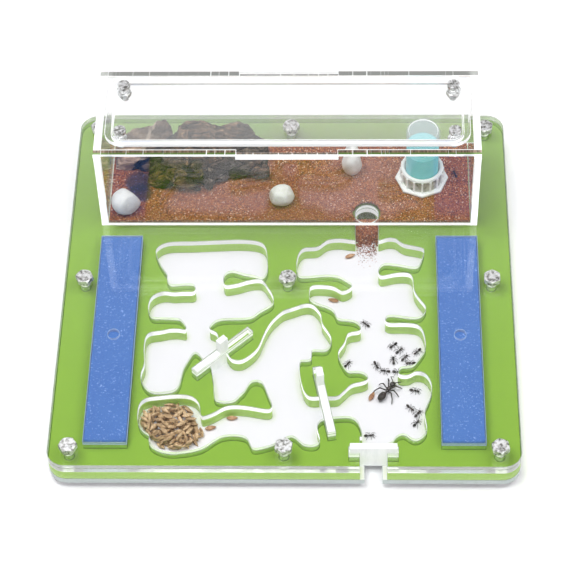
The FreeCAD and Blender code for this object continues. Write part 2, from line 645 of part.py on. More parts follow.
def side_wall(x0):
    """A side wall: full depth in its middle finger, and between the long walls elsewhere."""
    y0 = BOX_FRONT_Y + WALL_T
    y1 = BOX_BACK_Y - WALL_T
    wall = block(x0, x0 + WALL_T, y0, y1, TOP_Z, BOX_TOP_Z)
    z0 = TOP_Z + LOW_FINGER_H
    z1 = BOX_TOP_Z - FRAME_T
    finger = block(x0, x0 + WALL_T, BOX_FRONT_Y, BOX_BACK_Y, z0, z1)
    return wall.fuse(finger).removeSplitter()


def box_top_frame():
    """The glued top: a frame between the walls, with a tab over the front and back wall."""
    half = BOX_WIDTH / 2 - WALL_T
    z0 = BOX_TOP_Z - FRAME_T
    frame = block(-half, half, BOX_FRONT_Y + WALL_T, BOX_BACK_Y - WALL_T, z0, BOX_TOP_Z)
    tab = FRAME_TAB_WIDTH / 2
    frame = frame.fuse(block(-tab, tab, BOX_FRONT_Y, BOX_BACK_Y, z0, BOX_TOP_Z)).removeSplitter()
    opening = rounded_slab(
        -OPENING_WIDTH / 2, OPENING_WIDTH / 2,
        BOX_CENTRE_Y - OPENING_DEPTH / 2, BOX_CENTRE_Y + OPENING_DEPTH / 2,
        z0 - 1, FRAME_T + 2, OPENING_CORNER_R)
    return frame.cut(opening)


def lid_sheet(width, depth, z0, thickness, radius):
    """One sheet of the lid, with the holes for its screws."""
    half_x = width / 2
    half_y = depth / 2
    y = BOX_CENTRE_Y
    slab = rounded_slab(-half_x, half_x, y - half_y, y + half_y, z0, thickness, radius)
    hole_r = SCREW_D / 2 + FASTENER_PLAY
    return slab.cut([cylinder(x, y, z0 - 1, hole_r, thickness + 2) for x, y in screw_places()])


def lid_plate():
    """The upper sheet of the lid, which lies loose on the frame."""
    return lid_sheet(LID_WIDTH, LID_DEPTH, BOX_TOP_Z, LID_T, LID_CORNER_R)


def lid_plug():
    """The lower sheet of the lid, which fits into the frame's opening."""
    radius = OPENING_CORNER_R - LID_PLUG_PLAY
    return lid_sheet(LID_PLUG_WIDTH, LID_PLUG_DEPTH, LID_PLUG_Z, LID_PLUG_T, radius)


# ---------------------------------------------------------------------------
# What the box and the tunnel hold
# ---------------------------------------------------------------------------

def sand_bed():
    """The sand over the box floor, kept clear of the passage hole."""
    half = BOX_WIDTH / 2 - WALL_T - SAND_EDGE_GAP
    y0 = BOX_FRONT_Y + WALL_T + SAND_EDGE_GAP
    y1 = BOX_BACK_Y - WALL_T - SAND_EDGE_GAP
    bed = block(-half, half, y0, y1, TOP_Z, SAND_Z)
    hole_r = TUNNEL_WIDTH / 2 + SAND_HOLE_RIM
    return bed.cut(cylinder(TUNNEL_X, PASSAGE_HOLE_Y, TOP_Z - 1, hole_r, SAND_T + 2))


def tunnel_sand():
    """The wedge of sand that has run down through the passage hole."""
    back_y = PASSAGE_HOLE_Y
    profile = [
        Vector(0, TUNNEL_SAND_INNER_Y, FLOOR_Z),
        Vector(0, back_y, FLOOR_Z),
        Vector(0, back_y, FLOOR_Z + TUNNEL_SAND_HIGH),
        Vector(0, TUNNEL_SAND_INNER_Y, FLOOR_Z + TUNNEL_SAND_LOW),
        Vector(0, TUNNEL_SAND_INNER_Y, FLOOR_Z),
    ]
    width = TUNNEL_WIDTH - 2 * SAND_EDGE_GAP
    wedge = Part.Face(Part.makePolygon(profile)).extrude(Vector(width, 0, 0))
    wedge.translate(Vector(TUNNEL_X - width / 2, 0, 0))
    return wedge


def pebble(x_in_box, y_in_box, length, width, height, turn):
    """A smooth stone bedded flat on the sand."""
    x = BOX_LEFT_X + x_in_box
    half_z = height / (2 - 2 * PEBBLE_SUNK_SHARE)
    centre_z = SAND_Z + height - half_z
    y = BOX_FRONT_Y + y_in_box
    stone = scaled_ball(x, y, centre_z, length / 2, width / 2, half_z, turn)
    under = block(x - length, x + length, y - length, y + length, SAND_Z - height, SAND_Z)
    return stone.cut(under)


def driftwood(sections):
    """A weathered branch, lofted flat-sided through its sections and lying on the sand."""
    wires = []
    for x_in_box, front, back, height in sections:
        x = BOX_LEFT_X + x_in_box
        y0 = BOX_BACK_Y - front
        depth = front - back
        corners = [
            Vector(x, y0 + v * depth, SAND_Z + w * height)
            for v, w in DRIFTWOOD_SECTION_SHARES
        ]
        wires.append(Part.makePolygon(corners + corners[:1]))
    return Part.makeLoft(wires, True, True)


def tray_wire(radius, z):
    """The scalloped outline of the tray: points at the flutes' tips and between them."""
    corners = []
    for i in range(2 * TRAY_FLUTES + 1):
        angle = math.radians(180 / TRAY_FLUTES * i)
        r = radius if i % 2 == 0 else radius - TRAY_FLUTE_DEPTH
        corners.append(Vector(TRAY_X + r * math.sin(angle), TRAY_Y - r * math.cos(angle), z))
    return Part.makePolygon(corners)


def feeder_tray():
    """The fluted tray: a thin scalloped rim that slopes up to a round collar."""
    rim = Part.Face(tray_wire(TRAY_R, SAND_Z)).extrude(Vector(0, 0, TRAY_RIM_H))
    cone = Part.makeCone(
        TRAY_R - TRAY_FLUTE_DEPTH, TRAY_COLLAR_R, TRAY_H - TRAY_RIM_H,
        Vector(TRAY_X, TRAY_Y, SAND_Z + TRAY_RIM_H))
    socket_r = RESERVOIR_R + RESERVOIR_PLAY
    socket = cylinder(TRAY_X, TRAY_Y, SAND_Z + TRAY_FLOOR_T, socket_r, TRAY_H)
    return rim.fuse(cone).removeSplitter().cut(socket)


def feeder_reservoir():
    """The clear reservoir: a tube closed at the top, open in the tray."""
    outer = cylinder(TRAY_X, TRAY_Y, RESERVOIR_Z, RESERVOIR_R, RESERVOIR_H)
    outer = outer.makeFillet(1.0, top_edges(outer))
    inner_h = RESERVOIR_H - RESERVOIR_WALL
    inner = cylinder(TRAY_X, TRAY_Y, RESERVOIR_Z - 1, RESERVOIR_R - RESERVOIR_WALL, inner_h + 1)
    return outer.cut(inner)


def feeder_liquid():
    """The water inside the reservoir."""
    radius = RESERVOIR_R - RESERVOIR_WALL - LIQUID_PLAY
    return cylinder(TRAY_X, TRAY_Y, RESERVOIR_Z, radius, LIQUID_H)


# ---------------------------------------------------------------------------
# What lies on the nest floor
# ---------------------------------------------------------------------------

def seed_heap():
    """The heap of seeds that fills most of the store chamber, as one low mound."""
    mound = scaled_ball(SEED_HEAP[0], SEED_HEAP[1], FLOOR_Z, *SEED_HEAP[2:])
    return mound.common(raised(smooth_face(SEED_HEAP_OUTLINE), FLOOR_Z, SEED_HEAP[4]))


def loose_seeds():
    """Single seeds dropped in the galleries."""
    z = FLOOR_Z + SEED_R
    return [ellipsoid(x, y, z, SEED_LENGTH, SEED_R, turn) for x, y, turn in LOOSE_SEEDS]


def ant_body(x, y, turn, length):
    """The three parts of an ant's body: gaster, middle and head, touching in a row."""
    parts = [(-0.27, 0.46, 0.125), (0.11, 0.32, 0.075), (0.38, 0.24, 0.095)]
    body = None
    for place, share, radius in parts:
        px, py = along((x, y), turn, place * length)
        piece = ellipsoid(px, py, FLOOR_Z + 0.15 * length, share * length, radius * length, turn)
        body = piece if body is None else body.fuse(piece)
    return body


def queen_ant():
    """The queen."""
    return ant_body(*QUEEN, QUEEN_LENGTH)


def worker_ants():
    """The workers."""
    return [ant_body(x, y, turn, WORKER_LENGTH) for x, y, turn in WORKERS]


# ---------------------------------------------------------------------------
# Assembly
# ---------------------------------------------------------------------------

def all_parts():
    """Every sub-part by its node name."""
    cuts = gallery_cuts()
    left_gate = (LEFT_GATE_CENTRE, LEFT_GATE_ANGLE, LEFT_SLOT_LENGTH, LEFT_BLADE_LENGTH)
    centre_gate = (CENTRE_GATE_CENTRE, CENTRE_GATE_ANGLE, CENTRE_SLOT_LENGTH, CENTRE_BLADE_LENGTH)
    parts = {
        "base_plate": base_plate(),
        "gallery_plate_green": sheet(FLOOR_Z, GREEN_T, cuts),
        "gallery_plate_clear": sheet(CLEAR_Z, CLEAR_T, cuts),
        "cover_plate": cover_plate(),
        "nest_bolts": nest_bolts(),
        "nest_nuts": nest_nuts(),
        "sponge_left": sponge(-1),
        "sponge_right": sponge(1),
        "gate_left": sliding_gate(*left_gate),
        "gate_centre": sliding_gate(*centre_gate),
        "gate_entrance": entrance_gate(),
        "box_front_wall": long_wall(BOX_FRONT_Y),
        "box_back_wall": long_wall(BOX_BACK_Y - WALL_T),
        "box_left_wall": side_wall(-BOX_WIDTH / 2),
        "box_right_wall": side_wall(BOX_WIDTH / 2 - WALL_T),
        "box_top_frame": box_top_frame(),
        "lid_plate": lid_plate(),
        "lid_plug": lid_plug(),
        "lid_screws": lid_screws(),
        "lid_nuts": lid_nuts(),
        "sand_bed": sand_bed(),
        "tunnel_sand": tunnel_sand(),
        "driftwood_large": driftwood(LARGE_DRIFTWOOD),
        "driftwood_small": driftwood(SMALL_DRIFTWOOD),
        "feeder_tray": feeder_tray(),
        "feeder_reservoir": feeder_reservoir(),
        "feeder_liquid": feeder_liquid(),
        "seed_heap": seed_heap(),
        "loose_seeds": loose_seeds(),
        "queen_ant": queen_ant(),
        "worker_ants": worker_ants(),
    }
    for name, place in PEBBLES.items():
        parts[name] = pebble(*place)
    return parts


def export(name, shape):
    """Writes one node, a single solid or a group of separate ones, and prints its size."""
    if isinstance(shape, list):
        shape = Part.Compound(shape)
    box = shape.BoundBox
    valid = "valid" if shape.isValid() else "NOT VALID"
    size = f"{box.XLength:.1f} x {box.YLength:.1f} x {box.ZLength:.1f}"
    print(f"{name}: {len(shape.Solids)} solid(s), {shape.Volume:.1f} mm3, {valid}, {size}")
    shape.exportStep(f"parts/{name}.step")


os.makedirs("parts", exist_ok=True)
for node, node_shape in all_parts().items():
    export(node, node_shape)
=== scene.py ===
"""An ant habitat: the looks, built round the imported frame."""

import math
import random

import bmesh
import bpy
from mathutils import Matrix, Vector, noise
from mathutils.bvhtree import BVHTree


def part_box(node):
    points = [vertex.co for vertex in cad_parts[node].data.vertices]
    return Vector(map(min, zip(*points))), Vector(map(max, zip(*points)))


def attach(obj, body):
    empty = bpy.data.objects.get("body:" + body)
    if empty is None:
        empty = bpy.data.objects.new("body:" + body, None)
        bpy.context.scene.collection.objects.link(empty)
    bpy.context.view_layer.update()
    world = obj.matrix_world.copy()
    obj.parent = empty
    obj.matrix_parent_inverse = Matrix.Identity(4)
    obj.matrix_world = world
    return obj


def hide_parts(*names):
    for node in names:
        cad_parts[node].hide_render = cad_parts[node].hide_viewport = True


MM = 0.001

# Camera: place in millimetres, angles in degrees, focal length in pixels of the image
IMAGE_WIDTH = 570
CAMERA_PLACE = (28.62, -603.62, 769.21)
CAMERA_ELEVATION = 51.39
CAMERA_AZIMUTH = 2.84
CAMERA_ROLL = -2.17
CAMERA_FOCAL = 2161.2
SENSOR_WIDTH = 36.0

# Thin air gap that parts every sheet from what it touches
AIR_GAP = 0.02 * MM
# How far the edges of sheets and gates are softened
EDGE_RADIUS = 0.2 * MM
# A cut sheet's materials, in order
SKIN, EDGE, LIP, LOW_LIP, UNDER, OTHER_EDGE, POCKET_EDGE = range(7)
# Where the nest's outer edges begin, and the sponges' pockets lie, in millimetres from its middle
NEST_RIM = 97
POCKET_X = (65.5, 86.5)
POCKET_Y = (-90, 28)

ACRYLIC_IOR = 1.49
WATER_IOR = 1.33
PURE_WHITE = (1.0, 1.0, 1.0)
LIP_SHADOW = (0.9, 0.92, 0.91)
MILKY_RADIUS = (0.002, 0.002, 0.002)
# Stretches a pattern into flutes down a sheet's cut edge
FLUTES = (1, 1, 0)

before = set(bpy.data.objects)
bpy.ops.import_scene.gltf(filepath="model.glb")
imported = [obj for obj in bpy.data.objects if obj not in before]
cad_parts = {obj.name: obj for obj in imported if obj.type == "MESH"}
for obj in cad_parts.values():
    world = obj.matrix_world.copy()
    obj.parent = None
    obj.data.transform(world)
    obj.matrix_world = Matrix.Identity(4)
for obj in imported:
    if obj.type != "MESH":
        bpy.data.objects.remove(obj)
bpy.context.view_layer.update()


# ---- Node trees ----

class Tree:
    """A short way to write a material's node tree."""

    def __init__(self, owner, output="OutputMaterial"):
        """On a new material of that name, or on a world."""
        self.owner = bpy.data.materials.new(owner) if isinstance(owner, str) else owner
        self.owner.use_nodes = True
        self.nodes = self.owner.node_tree.nodes
        self.links = self.owner.node_tree.links
        self.nodes.clear()
        self.output = self.add(output)
        self.place = self.add("TexCoord").outputs["Object"]

    def add(self, kind, **settings):
        """A node of the kind, with its inputs and properties set."""
        node = self.nodes.new("ShaderNode" + kind)
        for key, value in settings.items():
            name = key.replace("_", " ")
            if name in node.inputs:
                self.put(node.inputs[name], value)
            else:
                setattr(node, key, value)
        return node

    def put(self, socket, value):
        """Links an output to a socket, or sets the socket's own value."""
        if isinstance(value, bpy.types.NodeSocket):
            self.links.new(value, socket)
        elif hasattr(value, "__len__") and len(value) == 3 and len(socket.default_value) == 4:
            socket.default_value = (*value, 1.0)
        else:
            socket.default_value = value

    def noise(self, scale, detail=4.0, roughness=0.55, stretch=(1, 1, 1), distortion=0.0):
        """Noise of so many blotches per metre, stretched by shares along the axes."""
        mapping = self.add("Mapping", Vector=self.place, Scale=stretch)
        return self.add(
            "TexNoise", Vector=mapping.outputs[0], Scale=scale, Detail=detail, Roughness=roughness,
            Distortion=distortion).outputs["Fac"]

    def cells(self, scale):
        """Cells of so many per metre: the distance to each one's middle, and its colour."""
        node = self.add("TexVoronoi", Vector=self.place, Scale=scale)
        return node.outputs["Distance"], node.outputs["Color"]

    def ramp(self, value, *stops):
        """Colours by value: each stop is (position, colour)."""
        node = self.add("ValToRGB", Fac=value)
        elements = node.color_ramp.elements
        while len(elements) < len(stops):
            elements.new(0.5)
        for element, (position, colour) in zip(elements, stops):
            element.position = position
            element.color = (*colour, 1.0) if hasattr(colour, "__len__") else (colour,) * 3 + (1.0,)
        return node.outputs["Color"]

    def mixed(self, factor, a, b, blend="MIX"):
        """Two colours mixed by a factor."""
        node = self.add("Mix", data_type="RGBA", blend_type=blend)
        self.put(node.inputs["Factor"], factor)
        self.put(node.inputs[6], a)
        self.put(node.inputs[7], b)
        return node.outputs[2]

    def tinted(self, mask, colour, tint):
        """The colour, multiplied by the tint where the mask is 1."""
        return self.mixed(mask, colour, self.mixed(1.0, colour, tint, "MULTIPLY"))

    def math(self, operation, a, b=0.0, c=0.0):
        """One sum of numbers."""
        node = self.add("Math", operation=operation)
        for socket, value in zip(node.inputs, (a, b, c)):
            self.put(socket, value)
        return node.outputs[0]

    def vector(self, operation, a, b):
        """A node that works on two vectors."""
        node = self.add("VectorMath", operation=operation)
        self.put(node.inputs[0], a)
        self.put(node.inputs[1], b)
        return node.outputs

    def fading(self, value, low, high):
        """1 up to low, falling to 0 at high."""
        return self.add("MapRange", Value=value, From_Min=low, From_Max=high, To_Min=1.0, To_Max=0.0).outputs[0]

    def near(self, centre, radius, ragged=0.5):
        """1 within a ragged ball round a place in millimetres, 0 outside it."""
        apart = self.vector("DISTANCE", self.place, Vector(centre) * MM)["Value"]
        reach = self.math("MULTIPLY_ADD", self.noise(240, 4.0, 0.65), 2 * ragged * radius * MM, apart)
        return self.fading(reach, (0.8 + ragged) * radius * MM, (1.15 + ragged) * radius * MM)

    def crack(self, start, end, width):
        """1 along a line between two places in millimetres, cut in from the photo's side."""
        start, end = Vector(start) * MM, Vector(end) * MM
        normal = (Vector(CAMERA_PLACE) * MM - start).cross(end - start).normalized()
        from_start = self.vector("SUBTRACT", self.place, start)["Vector"]
        across = self.vector("DOT_PRODUCT", from_start, normal)["Value"]
        waver = self.math("MULTIPLY_ADD", self.noise(330, 3.0), 1.6 * width * MM, across)
        apart = self.math("ABSOLUTE", self.math("SUBTRACT", waver, 0.8 * width * MM))
        return self.fading(apart, 0.35 * width * MM, 0.7 * width * MM)

    def curvature_shaded(self, colour, hollow=0.25, ridge=1.35):
        """The colour, darkened in hollows with painted shade and lighter on ridges."""
        curve = self.add("NewGeometry").outputs["Pointiness"]
        shade = self.ramp(curve, (0.44, hollow), (0.495, 0.85), (0.51, 1.0), (0.56, ridge))
        return self.mixed(1.0, colour, shade, "MULTIPLY")

    def bump(self, height, distance_mm):
        """A bump from a height of 0 to 1, so many millimetres deep."""
        return self.add("Bump", Height=height, Distance=distance_mm * MM).outputs["Normal"]

    def surface(self, glow=None, lets_through=None, **settings):
        """The material, with a principled surface that may glow white.

        Where it lets a tint through, lamps and bounced light pass straight on, so that
        clear parts throw no dark shadow.
        """
        if glow is not None:
            settings.update(Emission_Color=PURE_WHITE, Emission_Strength=glow)
        shader = self.add("BsdfPrincipled")
        for key, value in settings.items():
            self.put(shader.inputs[key.replace("_", " ")], value)
        shown = shader.outputs[0]
        if lets_through is not None:
            path = self.add("LightPath")
            clear = self.add("BsdfTransparent", Color=lets_through)
            for ray in ("Is Diffuse Ray", "Is Shadow Ray"):
                mix = self.add("MixShader", Fac=path.outputs[ray])
                self.links.new(shown, mix.inputs[1])
                self.links.new(clear.outputs[0], mix.inputs[2])
                shown = mix.outputs[0]
        self.links.new(shown, self.output.inputs["Surface"])
        return self.owner


# ---- Materials ----

def mottled(name, pattern, *tones, bump=None, **settings):
    """A surface of one noise pattern, in two colours or in (position, colour) stops."""
    tree = Tree(name)
    cloud = tree.noise(*pattern)
    if bump is not None:
        settings["Normal"] = tree.bump(cloud, bump)
    blend = tree.mixed if len(tones[0]) == 3 else tree.ramp
    return tree.surface(Base_Color=blend(cloud, *tones), **settings)


def clear_acrylic(name, painted_glow):
    """Cast acrylic with its polished skin, which may glow faintly with painted white light."""
    return Tree(name).surface(
        Base_Color=(0.99, 0.995, 0.995), Roughness=0.0, IOR=ACRYLIC_IOR, Transmission_Weight=1.0,
        glow=painted_glow, lets_through=(0.988, 0.991, 0.991))


def wall_top():
    """A long wall's upper edge, painted with the brown and green that it reflects from below, and with glowing
    white ticks of painted highlight.
    """
    tree = Tree("wall_top")
    along = (1, 0, 0)
    streaks = tree.noise(650, 4.0, 0.65, along)
    # Painted reflection: brown streaks of the sand below
    colour = tree.ramp(
        streaks, (0.38, (0.06, 0.045, 0.03)), (0.48, (0.16, 0.11, 0.07)),
        (0.55, (0.3, 0.19, 0.12)), (0.66, (0.6, 0.48, 0.38)))
    # Painted highlight: white ticks, which also glow
    highlight_ticks = tree.ramp(tree.noise(640, 2.0, 0.6, along), (0.6, 0.0), (0.64, 1.0))
    depth = tree.add("SeparateXYZ", Vector=tree.add("NewGeometry").outputs["Position"]).outputs["Y"]
    # Painted reflection: green of the nest sheet along the front, grey along the back wall
    colour = tree.mixed(tree.fading(depth, 32.6 * MM, 33.4 * MM), colour, (0.16, 0.27, 0.07))
    colour = tree.mixed(tree.fading(depth, 50 * MM, 60 * MM), (0.36, 0.37, 0.35), colour)
    colour = tree.mixed(highlight_ticks, colour, (0.95, 0.97, 0.95))
    return tree.surface(
        Base_Color=colour, Roughness=0.12, IOR=ACRYLIC_IOR, Transmission_Weight=0.3,
        Normal=tree.bump(streaks, 0.1), glow=tree.math("MULTIPLY", highlight_ticks, 0.3), lets_through=LIP_SHADOW)


def nest_edge(name, dark, glow):
    """A sheet's cut edge, frosted, with a painted white glow in place of the light that the sheet carries to it.
    """
    return mottled(
        name, (700, 2.0, 0.5, FLUTES), dark, PURE_WHITE, bump=0.03, Roughness=0.12, IOR=ACRYLIC_IOR,
        Transmission_Weight=0.58, glow=glow, lets_through=(0.97, 0.98, 0.975))


def edge_line(name, dark, pale, glow):
    """The melted lip along a cut, painted as a fine line in the given colours, which stand for its highlight,
    shade and reflections.
    """
    return mottled(
        name, (900, 2.0), dark, pale, Roughness=0.15, IOR=ACRYLIC_IOR, Transmission_Weight=0.1,
        glow=glow, lets_through=LIP_SHADOW)


def green_edge():
    """The cut edge of the green sheet, frosted and paler than its skin, with painted shade on the passage hole's
    far wall.
    """
    tree = Tree("green_edge")
    flutes = tree.noise(800, 3.0, 0.6, FLUTES)
    colour = tree.mixed(flutes, (0.48, 0.74, 0.16), (0.58, 0.82, 0.24))
    # Painted shade on the far wall of the passage hole
    colour = tree.mixed(tree.near((35.4, 45.3, 8.7), 5.2, 0.1), colour, (0.1, 0.16, 0.04))
    return tree.surface(
        Base_Color=colour, Roughness=0.25, IOR=ACRYLIC_IOR, Transmission_Weight=0.3,
        Normal=tree.bump(flutes, 0.06), lets_through=(0.8, 0.9, 0.5))


def zinc():
    """Bright zinc plate with fine turning marks."""
    tree = Tree("zinc")
    blotches = tree.noise(700, 4.0, 0.6)
    colour = tree.ramp(
        blotches, (0.34, (0.1, 0.1, 0.09)), (0.45, (0.5, 0.495, 0.48)), (0.58, (0.84, 0.84, 0.85)))
    return tree.surface(
        Base_Color=colour, Metallic=0.85, Roughness=tree.math("MULTIPLY_ADD", blotches, 0.3, 0.24),
        Normal=tree.bump(tree.noise(2200, 4.0, 0.65), 0.09))


def sponge_foam():
    """Blue foam with fine open cells and a few pale, damp specks."""
    tree = Tree("sponge_foam")
    colour = tree.mixed(tree.noise(60, 4.0), (0.05, 0.155, 0.5), (0.085, 0.218, 0.585))
    specks = tree.ramp(tree.noise(1100, 2.0, 0.7), (0.6, 0.0), (0.72, 1.0))
    return tree.surface(
        Base_Color=tree.mixed(specks, colour, (0.3, 0.46, 0.85)), Roughness=0.8, Sheen_Weight=0.15,
        Normal=tree.bump(tree.cells(1500)[0], 0.25))


def sand_material():
    """Coarse red-brown sand whose grains differ in colour, some of them bright, with a painted shadow under the
    small driftwood.
    """
    tree = Tree("sand")
    height, tone = tree.cells(2300)
    colour = tree.ramp(
        tone, (0.14, (0.05, 0.008, 0.002)), (0.32, (0.2, 0.035, 0.008)), (0.5, (0.37, 0.085, 0.016)),
        (0.7, (0.52, 0.16, 0.032)), (0.84, (0.72, 0.34, 0.13)), (0.9, (1.0, 0.82, 0.7)))
    rosy = tree.ramp(tree.noise(28, 2.0), (0.45, 0.0), (0.6, 0.45))
    colour = tree.mixed(rosy, colour, (0.34, 0.105, 0.075))
    # Painted shadow on the sand under the small driftwood
    for centre, radius in (((-70.0, 58.0, 18.0), 6.5), ((-69.0, 51.5, 18.0), 5.5)):
        colour = tree.tinted(tree.near(centre, radius, 0.3), colour, (0.2, 0.25, 0.7))
    return tree.surface(Base_Color=colour, Roughness=0.3, Normal=tree.bump(height, 0.5))


def bark():
    """Grey-brown weathered bark, olive where it crumbles, and dark green in its hollows from moss and painted
    shade.
    """
    tree = Tree("bark")
    grain = tree.noise(420, 8.0, 0.68, (0.35, 1, 1), 0.8)
    colour = tree.ramp(
        grain, (0.3, (0.01, 0.007, 0.005)), (0.43, (0.036, 0.027, 0.019)),
        (0.56, (0.1, 0.076, 0.054)), (0.7, (0.32, 0.25, 0.18)))
    # Each patch is a centre, a radius and a tint: the darkest, low down and in hollows, are painted shade partly
    # over moss; the others lighten or tint the bark
    patches = [
        ((-38.0, 71.0, 38.0), 15.0, (1.75, 1.38, 1.08)), ((-52.0, 56.0, 30.0), 9.5, (1.35, 1.12, 0.75)),
        ((-44.5, 56.0, 31.0), 5.5, (1.5, 1.35, 0.85)),
        ((-56.0, 52.0, 18.5), 5.0, (0.12, 0.1, 0.05)), ((-63.5, 56.0, 25.0), 6.0, (1.2, 0.95, 0.55)),
        ((-44.5, 53.5, 27.0), 3.8, (0.3, 0.24, 0.2)), ((-48.0, 50.5, 22.5), 4.4, (3.0, 2.8, 1.9)),
        ((-28.0, 57.0, 27.0), 7.0, (0.75, 0.85, 1.05)), ((-24.0, 53.0, 21.0), 5.0, (0.16, 0.2, 0.08)),
        ((-14.0, 60.0, 25.0), 5.0, (1.3, 0.95, 0.75)), ((-7.5, 60.0, 20.0), 4.0, (0.4, 0.42, 0.15)),
    ]
    for centre, radius, tint in patches:
        colour = tree.tinted(tree.near(centre, radius), colour, tint)
    # Painted shade darkens the hollows, and the ridges are lighter
    return tree.surface(
        Base_Color=tree.curvature_shaded(colour, 0.12, 1.7), Roughness=0.9, Specular_IOR_Level=0.15,
        Normal=tree.bump(grain, 1.6))


def cut_wood():
    """Pale tan wood, with one pale crack and one dark crack whose darkness is painted shade."""
    tree = Tree("cut_wood")
    grain = tree.noise(260, 7.0, 0.64, (0.3, 1, 1), 0.5)
    colour = tree.ramp(
        grain, (0.3, (0.035, 0.023, 0.016)), (0.44, (0.12, 0.08, 0.056)),
        (0.58, (0.28, 0.2, 0.14)), (0.72, (0.5, 0.39, 0.29)))
    colour = tree.tinted(tree.near((-74.0, 63.0, 24.0), 8.5), colour, (2.0, 1.95, 2.05))
    colour = tree.tinted(tree.near((-58.0, 77.0, 35.0), 5.5), colour, (0.6, 0.56, 0.58))
    colour = tree.mixed(tree.crack((-62.7, 78.2, 34.0), (-65.3, 71.5, 31.0), 1.6), colour, (0.5, 0.4, 0.32))
    # A dark crack, its darkness painted shade
    colour = tree.mixed(tree.crack((-65.6, 60.6, 30.0), (-75.1, 60.0, 21.0), 1.5), colour, (0.025, 0.018, 0.03))
    # Painted shade darkens the hollows, and the ridges are lighter
    return tree.surface(Base_Color=tree.curvature_shaded(colour, 0.2, 1.5), Roughness=0.8, Normal=tree.bump(grain, 1.1))


def white_stone():
    """Milky quartz, water-worn."""
    tree = Tree("white_stone")
    colour = tree.ramp(
        tree.noise(160, 5.0), (0.3, (0.66, 0.63, 0.58)), (0.5, (0.84, 0.83, 0.8)), (0.7, (0.92, 0.92, 0.9)))
    return tree.surface(
        Base_Color=colour, Roughness=0.5, Subsurface_Weight=0.2, Subsurface_Radius=MILKY_RADIUS,
        Normal=tree.bump(tree.noise(700, 4.0), 0.12))


def husk(name, dark, mid, pale):
    """Dry husk with lines along it."""
    tree = Tree(name)
    lines = tree.noise(900, 4.0, 0.6)
    cloud = tree.noise(230, 3.0)
    colour = tree.ramp(
        tree.math("MULTIPLY_ADD", lines, 0.5, tree.math("MULTIPLY", cloud, 0.5)),
        (0.36, dark), (0.5, mid), (0.62, pale))
    # Painted shade darkens the hollows, and the ridges are lighter
    return tree.surface(Base_Color=tree.curvature_shaded(colour, 0.2, 1.25), Roughness=0.6, Normal=tree.bump(lines, 0.12))


def ant_shell():
    """Glossy black shell."""
    tree = Tree("ant_shell")
    colour = tree.ramp(tree.noise(420, 2.0), (0.4, (0.008, 0.006, 0.005)), (0.7, (0.035, 0.018, 0.012)))
    return tree.surface(Base_Color=colour, Roughness=0.28, Normal=tree.bump(tree.noise(3000, 3.0), 0.02))


def floor_material():
    """The pale surface that the habitat stands on."""
    tree = Tree("studio_floor")
    path = tree.add("LightPath")
    unlit = tree.math("ADD", path.outputs["Is Camera Ray"], path.outputs["Is Transmission Ray"])
    return tree.surface(Base_Color=(0.95, 0.95, 0.96), Roughness=0.5, glow=tree.math("MULTIPLY", unlit, 0.1))


CLEAR = clear_acrylic("clear_acrylic", 0.0)
# The lid's acrylic glows faintly white, painted light that brightens it
GLOWING_LID_ACRYLIC = clear_acrylic("lid_acrylic", 0.022)
WALL_TOP = wall_top()
# Cut edges whose white glow is painted light, standing in for the light each sheet carries to its edge
NEST_EDGE = nest_edge("nest_edge", (0.93, 0.95, 0.95), 0.5)
OUTER_EDGE = nest_edge("outer_edge", (0.72, 0.82, 0.62), 0.2)
PLUG_EDGE = nest_edge("plug_edge", (0.6, 0.6, 0.64), 0.1)
# Painted lip lines: a glowing white highlight, a blue reflection of the sponges, a dark shade line mottled with
# pale highlight on the nest's clear sheets, and a dim brown reflection of the sand on the long walls
EDGE_LINE = edge_line("edge_line", (0.93, 0.95, 0.94), PURE_WHITE, 0.15)
SPONGE_LINE = edge_line("sponge_line", (0.22, 0.36, 0.72), (0.4, 0.58, 0.9), 0.06)
NEST_LIP = edge_line("nest_lip", (0.1, 0.14, 0.06), (0.7, 0.78, 0.66), 0.0)
DIM_LINE = edge_line("dim_line", (0.4, 0.3, 0.25), (0.8, 0.66, 0.58), 0.03)

GREEN = mottled(
    "green_acrylic", (18, 3.0), (0.525, 0.71, 0.195), (0.56, 0.74, 0.22), Roughness=0.0,
    IOR=ACRYLIC_IOR, Transmission_Weight=1.0, lets_through=(0.735, 0.855, 0.47))
GREEN_EDGE = green_edge()
# The green sheet's under face, bonded to the white sheet that shows through it
GREEN_BACKING = mottled("green_backing", (26, 4.0), (0.5, 0.69, 0.19), (0.54, 0.72, 0.21), Roughness=0.5)
# Painted shade: the dark line where its cut edge meets the base
SEAM_SHADE = mottled("seam_shade", (150, 3.0), (0.03, 0.06, 0.012), (0.09, 0.16, 0.03), Roughness=0.5)
# Opal white acrylic, a little dusty, and its cut edge greyed by painted shade
WHITE = mottled(
    "white_acrylic", (40, 4.0), (0.93, 0.92, 0.96), (0.97, 0.96, 0.985), Roughness=0.35,
    Coat_Weight=0.2, Coat_Roughness=0.1)
SHADED_WHITE_EDGE = mottled("shaded_white_edge", (700, 3.0, 0.6, FLUTES), (0.64, 0.72, 0.7), (0.76, 0.83, 0.81), Roughness=0.5)
# Clear acrylic that handling and sawing have made milky, with a painted white glow
GATE = mottled(
    "gate_acrylic", (500, 5.0, 0.6, (1, 1, 0.2)), (0.35, (0.88, 0.9, 0.91)), (0.55, (0.98, 0.99, 1.0)),
    bump=0.03, Roughness=0.25, IOR=ACRYLIC_IOR, Transmission_Weight=0.3, glow=0.16,
    lets_through=(0.9, 0.92, 0.92))

